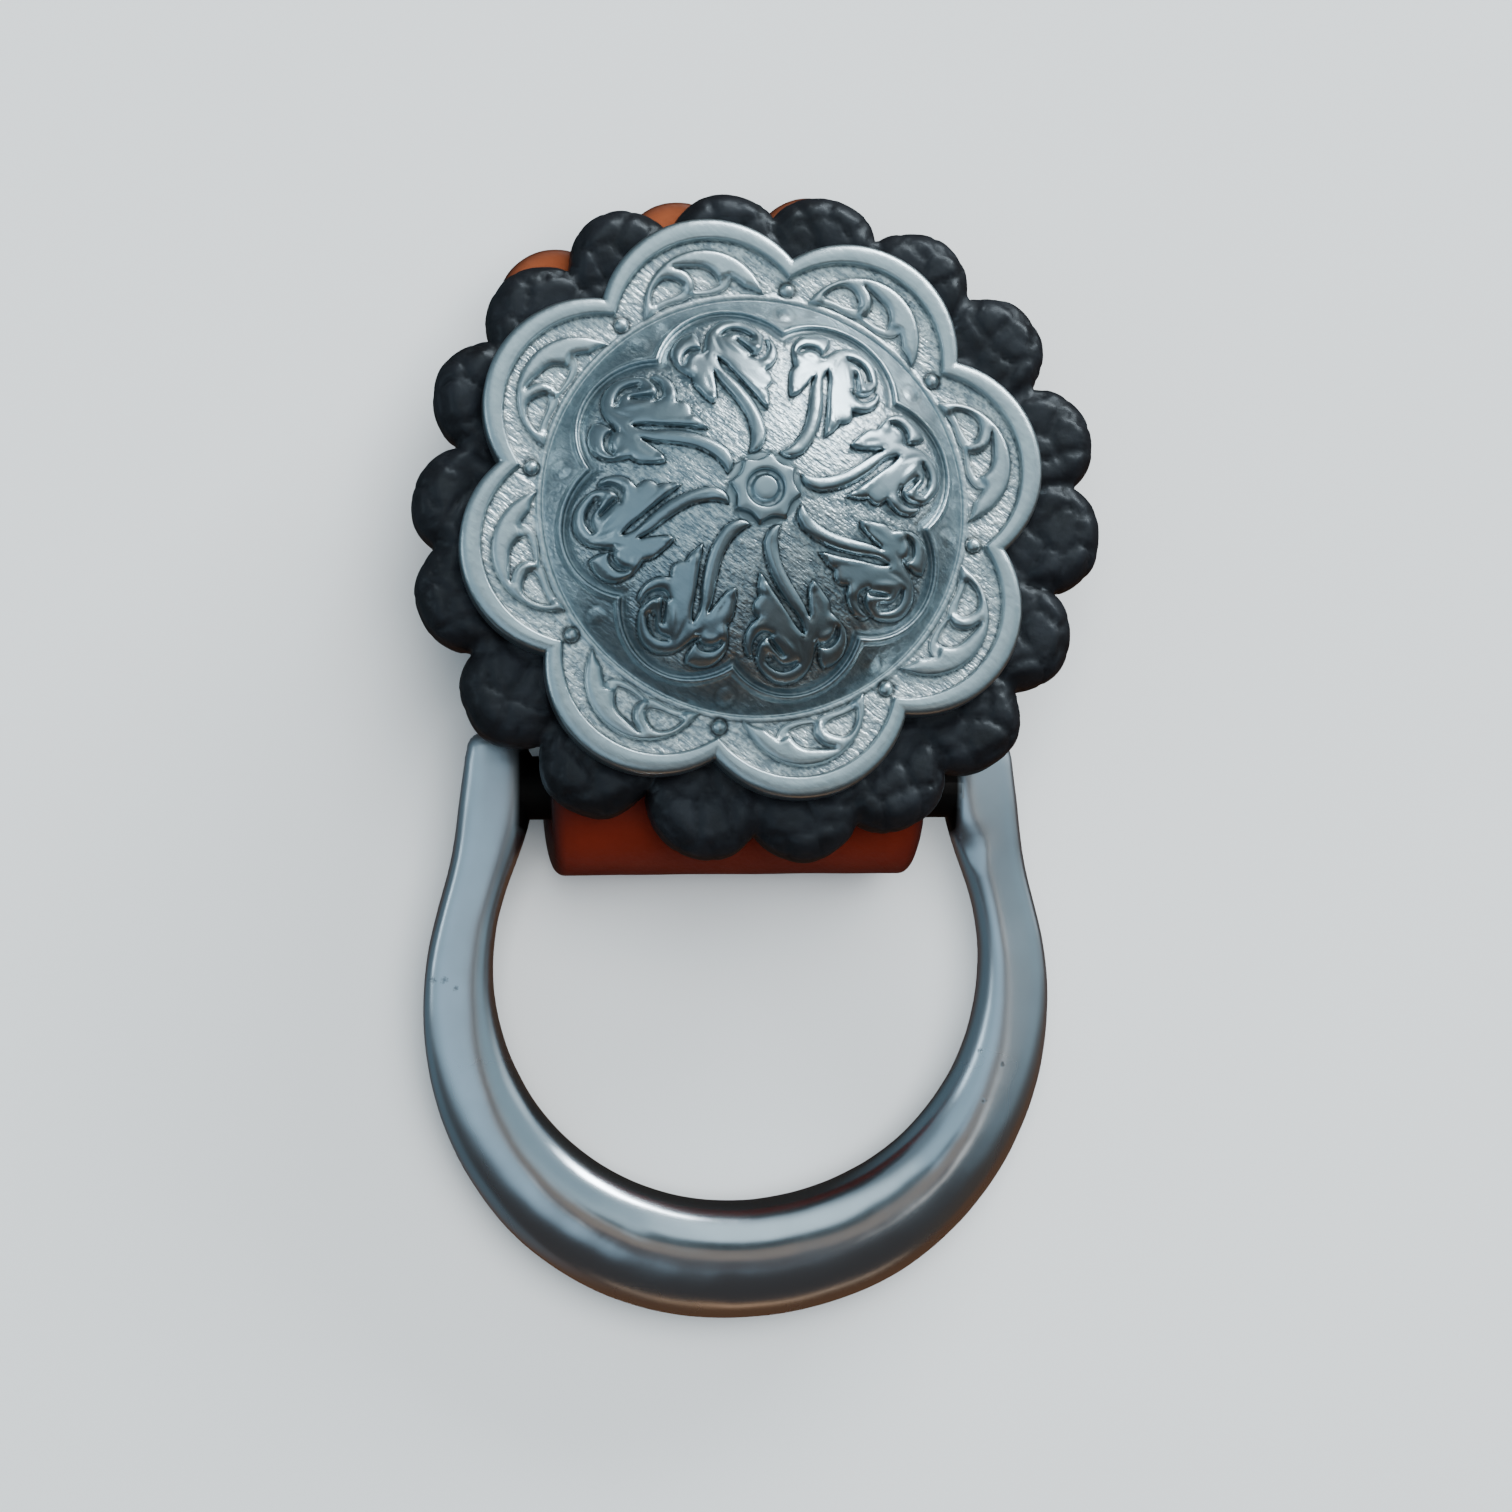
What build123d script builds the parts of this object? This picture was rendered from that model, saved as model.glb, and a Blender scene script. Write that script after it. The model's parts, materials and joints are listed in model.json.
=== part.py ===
"""Western concho with two leather rosettes, a strap loop and a cast ring, lying on its back.

Millimetres, +Z up, +X to the wearer's right in the picture, +Y towards the concho from the ring.
The origin is the centre of the object's footprint, on the surface that it lies on.
"""

import os
from math import asin, atan2, cos, degrees, hypot, pi, radians, sin, sqrt

from build123d import *

# Strap: one piece of leather folded round the ring's bar
strap_width = 23.8
strap_thickness = 2.8
strap_offset_x = -0.6
strap_end_above_screw = 14.0
strap_edge_round = 0.5
loop_slack = 0.6
ply_gap = 0.1
knee_from_bar = 2.0
join_from_bar = 11.0
knee_radius = 14.0

# Ring: cast in one with its bar
bar_diameter = 4.2
bar_clearance = 0.3
bar_to_screw = 16.6
ring_opening_radius = 16.1
bar_to_ring_centre = 11.9
ring_bottom_width = 8.0
ring_bottom_thickness = 6.0
arm_width = 4.1
arm_thickness = 4.2
lug_width = 4.9
lug_thickness = 4.4
lug_from_middle = 15.85
lug_reach = 3.0
lug_end_share = 0.8
lug_end_round = 1.2
floor_clearance = 0.02

# Rosettes: the black one over the tan one, each a disc with round lobes
black_radius = 22.6
black_lobe_radius = 3.75
black_disc_inside_lobes = 4.4
black_thickness = 2.8
black_offset_x = 0.9
black_offset_y = -0.5
black_turn = 16.5
black_edge_round = 1.0
tan_radius = 20.9
tan_lobe_radius = 3.6
tan_disc_inside_lobes = 2.7
tan_thickness = 2.2
tan_offset_x = 0.2
tan_offset_y = 1.0
tan_turn = 20.0
tan_edge_round = 0.5
layer_gap = 0.1

# Concho: outline, border, field and dome
concho_radius = 19.05
cusp_depth = 2.6
concho_lobes = 8
concho_turn = 12.7
plate_thickness = 1.25
border_rise = 0.65
border_width = 1.4
border_corner_width = 1.4
border_round = 0.45
dome_radius = 13.5
dome_rise = 5.9
dome_wall = 2.0
boss_radius = 3.6
bead_radius = 0.5
bead_from_corner = 0.69

# Concho: raised work on the dome and in the lobes
relief_rise = 0.6
line_rise = 0.35
line_width = 0.5
line_inside_dome = 0.85
line_cusp_depth = 1.55
collar_rise = 0.55
collar_point_radius = 2.15
collar_valley_radius = 1.85
collar_groove_radius = 1.0
button_radius = 0.66
half_bead_radius = 0.45
half_bead_inside_dome = 1.4
leaf_radius = 3.98
leaf_inside_border = 0.57
leaf_rise = 0.5

# Screw: a plain post with a flat head, let in flush behind
screw_radius = 2.0
screw_clearance = 0.1
screw_head_radius = 4.6
screw_head_thickness = 1.2
screw_in_boss = 4.2

# Each lobe of a hand-cut rosette, anticlockwise: how far it leans from even spacing, in degrees, and its
# reach as a share of the radius
BLACK_LOBES = [
    {"lean": -1.5, "reach": 0.995},
    {"lean": -0.5, "reach": 0.985},
    {"lean": 0.0, "reach": 0.970},
    {"lean": 0.8, "reach": 0.974},
    {"lean": 0.0, "reach": 0.962},
    {"lean": 1.3, "reach": 0.998},
    {"lean": 1.3, "reach": 1.011},
    {"lean": -2.0, "reach": 1.000},
    {"lean": 0.0, "reach": 0.995},
    {"lean": -1.5, "reach": 0.995},
    {"lean": 1.0, "reach": 0.990},
    {"lean": 0.0, "reach": 0.985},
    {"lean": 1.0, "reach": 0.980},
    {"lean": 0.5, "reach": 0.975},
    {"lean": -1.0, "reach": 0.965},
    {"lean": 0.0, "reach": 0.975},
    {"lean": -1.0, "reach": 0.995},
    {"lean": -0.5, "reach": 1.000},
]
TAN_LOBES = [
    {"lean": 0.0, "reach": 0.970},
    {"lean": -1.6, "reach": 0.978},
    {"lean": 0.0, "reach": 1.018},
    {"lean": 1.3, "reach": 0.981},
    {"lean": 2.0, "reach": 1.026},
    {"lean": 0.0, "reach": 0.955},
    {"lean": 0.0, "reach": 0.930},
    {"lean": 0.0, "reach": 0.950},
    {"lean": 0.0, "reach": 0.970},
    {"lean": 0.0, "reach": 0.975},
    {"lean": 0.0, "reach": 0.975},
    {"lean": 0.0, "reach": 0.970},
    {"lean": 0.0, "reach": 0.970},
]

# Outline of one scroll leaf, lobe pointing along +Y, in hundredths of the dome's radius.
# Each row is one smooth stretch from corner to corner: points are (across, out from the centre).
SCROLL_LEAF = {
    "stem, left side": [(-3.5, 18.0), (-0.7, 23.7), (0.4, 30.4), (-0.2, 37.0), (-2.2, 43.7),
                        (-4.8, 50.4), (-7.0, 56.3), (-8.0, 61.1)],
    "left leaf, inner side": [(-8.0, 61.1), (-8.5, 56.3), (-9.3, 51.5), (-10.5, 47.4), (-12.6, 45.2)],
    "left leaf, outer side": [(-12.6, 45.2), (-14.8, 47.8), (-17.0, 52.2), (-18.9, 56.7), (-18.5, 60.7)],
    "bud, outer side": [(-18.5, 60.7), (-21.9, 64.8), (-24.4, 70.0), (-24.1, 75.6), (-21.1, 80.4),
                        (-16.3, 83.3), (-11.1, 84.4)],
    "bud, inner side": [(-11.1, 84.4), (-9.3, 80.7), (-9.6, 76.3), (-10.0, 72.6)],
    "scroll": [(-10.0, 72.6), (-7.8, 77.0), (-5.6, 81.5), (-1.9, 85.2), (3.0, 87.4), (8.1, 87.4),
               (13.3, 85.2), (17.4, 80.7), (19.6, 76.3), (20.1, 73.0)],
    "right leaf, first lobe": [(20.1, 73.0), (23.0, 71.9), (24.4, 67.8), (23.3, 62.6), (20.0, 58.5),
                               (15.6, 56.3)],
    "right leaf, second lobe": [(15.6, 56.3), (17.4, 53.3), (17.0, 50.0), (13.7, 47.0)],
    "right leaf, tip": [(13.7, 47.0), (13.7, 43.7), (12.6, 40.0), (11.1, 36.3)],
    "right leaf, inner side": [(11.1, 36.3), (9.3, 39.6), (7.0, 44.8), (4.1, 51.5), (1.5, 57.4),
                               (-1.1, 63.3), (-4.1, 67.8)],
    "stem, right side": [(-4.1, 67.8), (-3.7, 62.2), (0.0, 55.2), (3.1, 48.9), (5.6, 42.2),
                         (7.0, 35.6), (7.3, 29.6), (6.8, 24.4)],
    "stem, foot": [(6.8, 24.4), (4.4, 20.4), (0.7, 17.8), (-3.5, 18.0)],
}

# Cuts in the scroll leaf, in the same hundredths: points are (across, out, full width of the cut there)
SCROLL_CUTS = {
    "inside the scroll": [(0.4, 78.5, 0.9), (3.3, 80.4, 1.6), (7.8, 80.6, 2.1), (11.5, 78.4, 3.0),
                          (13.7, 75.2, 3.3)],
    "beside the eye": [(6.3, 76.3, 0.9), (8.5, 73.0, 1.4), (10.4, 69.6, 1.6), (11.9, 66.7, 1.0)],
    "under the scroll": [(20.1, 72.2, 1.1), (19.6, 68.9, 2.2), (17.4, 65.2, 2.4), (14.4, 63.7, 2.2),
                         (11.1, 64.8, 0.9)],
    "inside the bud": [(-17.4, 68.5, 1.5), (-18.9, 70.7, 2.2), (-17.0, 73.9, 1.9), (-13.7, 76.7, 1.5),
                       (-11.1, 80.0, 0.9)],
}

# Lower edge of the crescent leaf in a border lobe, from its right tip to its left tip, in hundredths of
# the leaf's radius: points are (across, out from the leaf's centre)
CRESCENT_EDGE = {
    "right tip": [(100.0, 3.0), (83.0, 16.0), (69.0, 23.0)],
    "notch, right side": [(69.0, 23.0), (61.0, 34.0), (54.0, 41.0)],
    "notch, left side": [(54.0, 41.0), (48.0, 31.0), (34.0, 23.5), (14.0, 22.0), (-5.0, 24.5),
                         (-16.0, 26.0)],
    "under the hook": [(-16.0, 26.0), (-29.0, 21.5), (-48.0, 20.0), (-70.0, 15.5), (-88.0, 7.0),
                       (-100.0, 3.0)],
}

# Two windows in the crescent leaf, in the same hundredths, stretches from corner to corner
CRESCENT_WINDOWS = {
    "left window": [
        [(-83.0, 26.0), (-79.0, 41.0), (-69.0, 55.0), (-54.0, 62.5), (-39.0, 58.5), (-29.0, 49.0),
         (-29.0, 39.5)],
        [(-29.0, 39.5), (-41.0, 34.5), (-61.0, 31.0), (-83.0, 26.0)],
    ],
    "right window": [
        [(-35.0, 79.0), (-18.0, 76.0), (-3.0, 72.5), (11.0, 68.5), (24.0, 58.5), (30.0, 46.0),
         (31.5, 37.0)],
        [(31.5, 37.0), (17.5, 34.0), (2.5, 33.0), (-11.0, 34.5)],
        [(-11.0, 34.5), (-6.5, 45.5), (-9.0, 58.5), (-18.0, 70.0), (-35.0, 79.0)],
    ],
}

# Sections of the ring from its bottom to the end of an arm: the turn is measured at the opening's centre
# from straight down, and the share says how far the section has gone from the bottom's size to the arm's
RING_SECTIONS = [
    {"turn": 0, "share": 0.00},
    {"turn": 24, "share": 0.05},
    {"turn": 48, "share": 0.30},
    {"turn": 72, "share": 0.66},
    {"turn": 92, "share": 0.92},
    {"turn": 110, "share": 1.00},
]

# Layout worked out from the sizes above
bar_radius = bar_diameter / 2
loop_radius = bar_radius + bar_clearance
bar_height = strap_thickness + loop_radius
seat_above_bar = loop_radius + strap_thickness
lie_drop = seat_above_bar - 2 * strap_thickness - ply_gap
lie_length = bar_to_screw + strap_end_above_screw
lie_angle = degrees(asin(bar_height / hypot(lie_length, lie_drop)) + atan2(lie_drop, lie_length))
slope_out = Vector(0, sin(radians(lie_angle)), cos(radians(lie_angle)))
slope_up = Vector(0, cos(radians(lie_angle)), -sin(radians(lie_angle)))
bar_centre = Vector(0, 0, bar_height)
seat_centre = bar_centre + slope_out * seat_above_bar + slope_up * bar_to_screw
seat = Plane(origin=seat_centre, x_dir=(1, 0, 0), z_dir=slope_out)
tan_bottom = layer_gap
black_bottom = tan_bottom + tan_thickness + layer_gap
concho_back = black_bottom + black_thickness + layer_gap
strap_back = -2 * strap_thickness - ply_gap
border_top = plate_thickness + border_rise
cusp_radius = concho_radius - cusp_depth
leaf_centre_from_axis = concho_radius - border_width - leaf_inside_border - leaf_radius
line_top_from_axis = dome_radius - line_inside_dome
line_cusp_from_axis = line_top_from_axis - line_cusp_depth
half_bead_from_axis = dome_radius - half_bead_inside_dome
dome_sphere_radius = (dome_radius**2 + dome_rise**2) / (2 * dome_rise)
dome_centre_height = plate_thickness + dome_rise - dome_sphere_radius
ring_reach = bar_to_ring_centre + ring_opening_radius + ring_bottom_width / 2
ring_rest_angle = degrees(asin((bar_height - ring_bottom_thickness / 2 - floor_clearance) / ring_reach))


def smooth_outline(stretches, unit, centre_out=0.0):
    """A face bounded by smooth stretches that meet at corners."""
    edges = []
    for points in stretches:
        placed = [(across * unit, centre_out + out * unit) for across, out in points]
        edges.append(Spline(*placed) if len(placed) > 2 else Line(*placed))
    return make_face(Curve() + edges)


def tapered_cut(rows, unit):
    """A face along a line of points whose width changes from point to point."""
    left = []
    right = []
    for index, (across, out, width) in enumerate(rows):
        before = rows[max(index - 1, 0)]
        after = rows[min(index + 1, len(rows) - 1)]
        run = hypot(after[0] - before[0], after[1] - before[1])
        side = (-(after[1] - before[1]) / run, (after[0] - before[0]) / run)
        left.append((unit * (across + side[0] * width / 2), unit * (out + side[1] * width / 2)))
        right.append((unit * (across - side[0] * width / 2), unit * (out - side[1] * width / 2)))
    right.reverse()
    return make_face(Curve() + [Spline(*left), Line(left[-1], right[0]), Spline(*right),
                                Line(right[-1], left[0])])


def scalloped_face(count, top, cusp):
    """A face bounded by arcs that meet in cusps: top is an arc's reach and cusp that of its ends."""
    half_pitch = pi / count
    edges = []
    for index in range(count):
        middle = pi / 2 + 2 * index * half_pitch
        points = [(cusp * cos(middle - half_pitch), cusp * sin(middle - half_pitch)),
                  (top * cos(middle), top * sin(middle)),
                  (cusp * cos(middle + half_pitch), cusp * sin(middle + half_pitch))]
        edges.append(ThreePointArc(*points))
    return make_face(Curve() + edges)


def eight_times(shape):
    """The shape turned into each lobe of the concho."""
    turns = [index * 360 / concho_lobes for index in range(concho_lobes)]
    return [Rot(0, 0, turn) * shape for turn in turns]


def dome_ball(rise):
    """A ball concentric with the dome and higher than it by the rise."""
    return Pos(0, 0, dome_centre_height) * Sphere(dome_sphere_radius + rise)


def raised_on_dome(face, rise):
    """A face drawn flat, raised from the dome by the rise."""
    prism = Pos(0, 0, plate_thickness) * extrude(face, dome_rise + rise + 1)
    return prism & dome_ball(rise)


def scroll_leaf_face():
    """One scroll leaf with its cuts, drawn flat."""
    unit = dome_radius / 100
    face = smooth_outline(SCROLL_LEAF.values(), unit)
    for rows in SCROLL_CUTS.values():
        face -= tapered_cut(rows, unit)
    return face


def crescent_leaf_face():
    """One crescent leaf of a border lobe with its two windows, drawn flat."""
    unit = leaf_radius / 100
    right_tip = CRESCENT_EDGE["right tip"][0]
    left_tip = CRESCENT_EDGE["under the hook"][-1]
    edges = [ThreePointArc((left_tip[0] * unit, left_tip[1] * unit), (0, leaf_radius),
                           (right_tip[0] * unit, right_tip[1] * unit))]
    for points in CRESCENT_EDGE.values():
        edges.append(Spline(*[(across * unit, out * unit) for across, out in points]))
    face = make_face(Curve() + edges)
    for stretches in CRESCENT_WINDOWS.values():
        face -= smooth_outline(stretches, unit)
    return Pos(0, leaf_centre_from_axis) * face


def collar():
    """The pointed collar and the button at the dome's top."""
    star = scalloped_face(concho_lobes, collar_valley_radius, collar_point_radius)
    ring_face = star - Circle(collar_groove_radius)
    return [raised_on_dome(ring_face, collar_rise), raised_on_dome(Circle(button_radius), collar_rise)]


def concho():
    """The cast concho, its back at height 0."""
    rim = scalloped_face(concho_lobes, concho_radius, cusp_radius)
    body = extrude(rim, border_top)
    outer_edges = body.faces().sort_by(Axis.Z)[-1].edges()
    body = fillet(outer_edges, border_round)
    corner = cusp_radius - border_corner_width
    field = scalloped_face(concho_lobes, concho_radius - border_width, corner)
    body -= Pos(0, 0, plate_thickness) * extrude(field, border_rise + 1)
    cap = dome_ball(0) & Pos(0, 0, plate_thickness) * Cylinder(
        dome_radius + 1, dome_rise + 1, align=(Align.CENTER, Align.CENTER, Align.MIN))
    cavity = dome_ball(-dome_wall) & Cylinder(
        dome_radius, dome_rise + plate_thickness, align=(Align.CENTER, Align.CENTER, Align.MIN))
    boss = Cylinder(boss_radius, plate_thickness + dome_rise - dome_wall / 2,
                    align=(Align.CENTER, Align.CENTER, Align.MIN))
    body = body + cap - cavity + boss
    line = scalloped_face(concho_lobes, line_top_from_axis, line_cusp_from_axis)
    line -= scalloped_face(concho_lobes, line_top_from_axis - line_width, line_cusp_from_axis - line_width)
    raised = [raised_on_dome(line, line_rise)]
    raised += eight_times(raised_on_dome(scroll_leaf_face(), relief_rise))
    raised += collar()
    crescent = Pos(0, 0, plate_thickness) * extrude(crescent_leaf_face(), leaf_rise)
    raised += eight_times(crescent)
    half_turn = Rot(0, 0, 180 / concho_lobes)
    raised += eight_times(half_turn * Pos(0, corner - bead_from_corner, plate_thickness) * Sphere(bead_radius))
    half_bead_height = dome_centre_height + sqrt(dome_sphere_radius**2 - half_bead_from_axis**2)
    raised += eight_times(half_turn * Pos(0, half_bead_from_axis, half_bead_height) * Sphere(half_bead_radius))
    body = body + raised
    body -= Cylinder(screw_radius + screw_clearance, screw_in_boss,
                     align=(Align.CENTER, Align.CENTER, Align.MIN))
    return Rot(0, 0, concho_turn) * body


def screw_hole(bottom, top):
    """The hole that the screw needs, from one height of the seat to another."""
    middle = (bottom + top) / 2
    return Pos(0, 0, middle) * Cylinder(screw_radius + screw_clearance, top - bottom + 2 * layer_gap)


def rosette(lobes, radius, lobe_radius, disc_inside_lobes, thickness, edge_round, turn):
    """A disc with puffed round lobes, its underside at height 0."""
    base = (Align.CENTER, Align.CENTER, Align.MIN)
    body = Cylinder(radius - disc_inside_lobes, thickness, align=base)
    lobe = Cylinder(lobe_radius, thickness, align=base)
    lobe = fillet(lobe.edges().sort_by(Axis.Z)[-1], edge_round)
    pitch = 360 / len(lobes)
    placed = []
    for index, row in enumerate(lobes):
        place = radius * row["reach"] - lobe_radius
        placed.append(Rot(0, 0, turn + row["lean"] + index * pitch) * Pos(place, 0, 0) * lobe)
    return body + placed


def black_rosette():
    """The upper rosette on the seat."""
    body = rosette(BLACK_LOBES, black_radius, black_lobe_radius, black_disc_inside_lobes, black_thickness,
                   black_edge_round, black_turn)
    body = Pos(black_offset_x, black_offset_y, black_bottom) * body
    return body - screw_hole(black_bottom, black_bottom + black_thickness)


def tan_rosette():
    """The lower rosette on the seat."""
    body = rosette(TAN_LOBES, tan_radius, tan_lobe_radius, tan_disc_inside_lobes, tan_thickness,
                   tan_edge_round, tan_turn)
    body = Pos(tan_offset_x, tan_offset_y, tan_bottom) * body
    return body - screw_hole(tan_bottom, tan_bottom + tan_thickness)


def moved_corner(before, corner, after, depth):
    """Where a corner of a path goes when the path is moved to its right by the depth."""
    way_in = (corner - before).normalized()
    way_out = (after - corner).normalized()
    right_in = Vector(0, way_in.Z, -way_in.Y)
    right_out = Vector(0, way_out.Z, -way_out.Y)
    middle = (right_in + right_out).normalized()
    return corner + middle * (depth / middle.dot(right_in))


def strap_side(depth):
    """The folded strap's inner side seen from its edge, moved outwards by the depth, as edges in a row."""
    half_turn = radians(lie_angle) / 2
    fold_back = Vector(0, -cos(half_turn), sin(half_turn))
    fold_radius = loop_radius + loop_slack * sin(half_turn)
    fold_centre = bar_centre + fold_back * loop_slack
    floor_way = Vector(0, 0, -1)
    front_end = bar_centre + slope_out * (loop_radius + depth) + slope_up * lie_length
    front_start = fold_centre + slope_out * (fold_radius + depth)
    fold_middle = fold_centre + fold_back * (fold_radius + depth)
    back_start = fold_centre + floor_way * (fold_radius + depth)
    knee = Vector(0, knee_from_bar, strap_thickness)
    join = bar_centre + slope_out * (loop_radius - ply_gap) + slope_up * join_from_bar
    end = bar_centre + slope_out * (loop_radius - ply_gap) + slope_up * lie_length
    back_flat = fold_centre + floor_way * fold_radius
    knee_moved = moved_corner(back_flat, knee, join, depth)
    join_moved = moved_corner(knee, join, end, depth)
    end_moved = end - slope_out * depth
    back = FilletPolyline(*[(0, spot.Y, spot.Z) for spot in (back_start, knee_moved, join_moved, end_moved)],
                          radius=[knee_radius + depth, knee_radius - depth])
    return [Line(front_end, front_start), ThreePointArc(front_start, fold_middle, back_start), back]


def touches_path(edge, path):
    """Whether the middle of an edge at the strap's side lies on a path drawn in the middle of its width."""
    spot = edge @ 0.5
    return any(piece.distance_to(Vector(0, spot.Y, spot.Z)) < layer_gap / 10 for piece in path)


def strap_loop():
    """The leather strap folded round the bar, both plies clamped under the rosettes."""
    inner = strap_side(0)
    outer = strap_side(strap_thickness)
    ends = [Line(inner[0] @ 0, outer[0] @ 0), Line(inner[2] @ 1, outer[2] @ 1)]
    profile = make_face(Curve() + inner + outer + ends)
    body = extrude(profile, strap_width / 2, both=True)
    side_edges = []
    for side in (-1, 1):
        face = body.faces().sort_by(Axis.X)[0 if side < 0 else -1]
        side_edges += [edge for edge in face.edges() if touches_path(edge, outer)]
    body = Pos(strap_offset_x, 0, 0) * fillet(side_edges, strap_edge_round)
    screw_holes = screw_hole(strap_back, 0)
    head_hole = Pos(0, 0, strap_back - layer_gap) * Cylinder(
        screw_head_radius + screw_clearance, screw_head_thickness + 2 * layer_gap,
        align=(Align.CENTER, Align.CENTER, Align.MIN))
    return body - seat.location * (screw_holes + head_hole)


def back_screw():
    """The post with a flat head that clamps the leather and screws into the concho's boss."""
    base = (Align.CENTER, Align.CENTER, Align.MIN)
    head = Pos(0, 0, strap_back) * Cylinder(screw_head_radius, screw_head_thickness, align=base)
    post_length = concho_back + screw_in_boss - 2 * screw_clearance - strap_back
    post = Pos(0, 0, strap_back) * Cylinder(screw_radius, post_length, align=base)
    return head + post


def ring_section(centre, outward, width, thickness):
    """An oval section of the ring, its width along the outward direction, its thickness along Z."""
    across = Plane(origin=centre, x_dir=outward, z_dir=outward.cross(Vector(0, 0, 1)))
    return across * Ellipse(width / 2, thickness / 2)


def ring_side(side):
    """The ring's sections from beside the bottom to the end of one arm; side is 1 right, -1 left."""
    centre = Vector(0, -bar_to_ring_centre, 0)
    sections = []
    for row in RING_SECTIONS[1:]:
        turn = radians(row["turn"])
        outward = Vector(side * sin(turn), -cos(turn), 0)
        width = ring_bottom_width + (arm_width - ring_bottom_width) * row["share"]
        thickness = ring_bottom_thickness + (arm_thickness - ring_bottom_thickness) * row["share"]
        middle = centre + outward * (ring_opening_radius + width / 2)
        sections.append(ring_section(middle, outward, width, thickness))
    for reach, shrink in ((0, 1), (lug_reach, lug_end_share)):
        lug_centre = Vector(side * lug_from_middle, reach, 0)
        sections.append(ring_section(lug_centre, Vector(side, 0, 0), lug_width * shrink, lug_thickness * shrink))
    return sections


def ring():
    """The cast ring with its bar, the bar's axis along X at height 0."""
    bottom = ring_section(Vector(0, -bar_to_ring_centre - ring_opening_radius - ring_bottom_width / 2, 0),
                          Vector(0, -1, 0), ring_bottom_width, ring_bottom_thickness)
    sections = list(reversed(ring_side(-1))) + [bottom] + ring_side(1)
    body = loft(sections)
    lug_ends = [face.edges() for face in body.faces().sort_by(Axis.Y)[-2:]]
    body = fillet([edge for edges in lug_ends for edge in edges], lug_end_round)
    bar = Rot(0, 90, 0) * Cylinder(bar_radius, 2 * lug_from_middle)
    return body + bar


os.makedirs("parts", exist_ok=True)
nodes = {
    "strap_loop": strap_loop(),
    "tan_rosette": seat.location * tan_rosette(),
    "black_rosette": seat.location * black_rosette(),
    "concho": seat.location * Pos(0, 0, concho_back) * concho(),
    "back_screw": seat.location * back_screw(),
    "ring": Pos(*bar_centre) * Rot(ring_rest_angle, 0, 0) * ring(),
}
box = Compound(children=[Part() + node for node in nodes.values()]).bounding_box()
origin = Vector(box.center().X, box.center().Y, 0)
for name, node in nodes.items():
    export_step(Pos(*(-origin)) * node, f"parts/{name}.step")
print("lie angle", lie_angle, "ring rest angle", ring_rest_angle, "lowest", box.min.Z)
print("bar", bar_centre - origin, "seat", seat_centre - origin, "slope out", slope_out)
print("size", box.size)
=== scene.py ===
import json
from math import atan2, ceil, cos, hypot, pi, radians, sin, sqrt, tan

import bmesh
import bpy
import numpy as np
from mathutils import Matrix, Vector, noise
from mathutils.geometry import delaunay_2d_cdt

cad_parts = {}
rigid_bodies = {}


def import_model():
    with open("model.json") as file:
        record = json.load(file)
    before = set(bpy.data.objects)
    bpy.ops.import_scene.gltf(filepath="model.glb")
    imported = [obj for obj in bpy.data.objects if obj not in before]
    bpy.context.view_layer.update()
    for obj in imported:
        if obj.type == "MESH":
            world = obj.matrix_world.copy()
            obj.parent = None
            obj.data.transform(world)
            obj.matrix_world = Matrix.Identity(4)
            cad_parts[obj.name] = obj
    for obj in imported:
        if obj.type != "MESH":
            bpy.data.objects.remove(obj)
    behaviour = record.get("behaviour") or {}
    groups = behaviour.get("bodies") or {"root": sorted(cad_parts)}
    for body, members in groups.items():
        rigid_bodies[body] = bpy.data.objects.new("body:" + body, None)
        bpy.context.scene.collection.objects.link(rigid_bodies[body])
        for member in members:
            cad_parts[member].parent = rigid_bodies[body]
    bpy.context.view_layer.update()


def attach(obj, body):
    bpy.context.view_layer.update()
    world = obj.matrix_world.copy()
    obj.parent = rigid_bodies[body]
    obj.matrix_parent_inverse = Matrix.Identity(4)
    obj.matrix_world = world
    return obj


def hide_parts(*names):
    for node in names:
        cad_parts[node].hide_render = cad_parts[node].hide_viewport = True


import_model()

# Without this seed the noise would bend the leather differently in each run
noise.seed_set(4)

# The part's own sizes, in millimetres, and where its pieces lie
MM = 0.001
LIE = radians(8.846578)
ACROSS = np.array([1.0, 0.0, 0.0])
UP_SLOPE = np.array([0.0, cos(LIE), -sin(LIE)])
OUT = np.array([0.0, sin(LIE), cos(LIE)])
BAR = np.array([-0.951015, -1.50471, 5.2])
SEAT = np.array([-0.951015, 15.6975, 7.78524])
LAYER_GAP = 0.1
SCREW_HOLE = 2.1

CONCHO = {"lobes": 8, "turn": radians(12.7), "radius": 19.05, "cusp": 16.45, "plate": 1.25,
          "border_rise": 0.65, "border_width": 1.4, "corner_width": 1.4, "border_round": 0.45,
          "dome": 13.5, "dome_rise": 5.9, "wall": 2.0, "boss": 3.6, "hole_depth": 4.2,
          "relief": 0.6, "leaf": 3.98, "leaf_out": 13.1, "leaf_rise": 0.5}
HALF_PITCH = pi / CONCHO["lobes"]
BALL = (CONCHO["dome"]**2 + CONCHO["dome_rise"]**2) / (2 * CONCHO["dome_rise"])
BALL_CENTRE = CONCHO["plate"] + CONCHO["dome_rise"] - BALL

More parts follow.
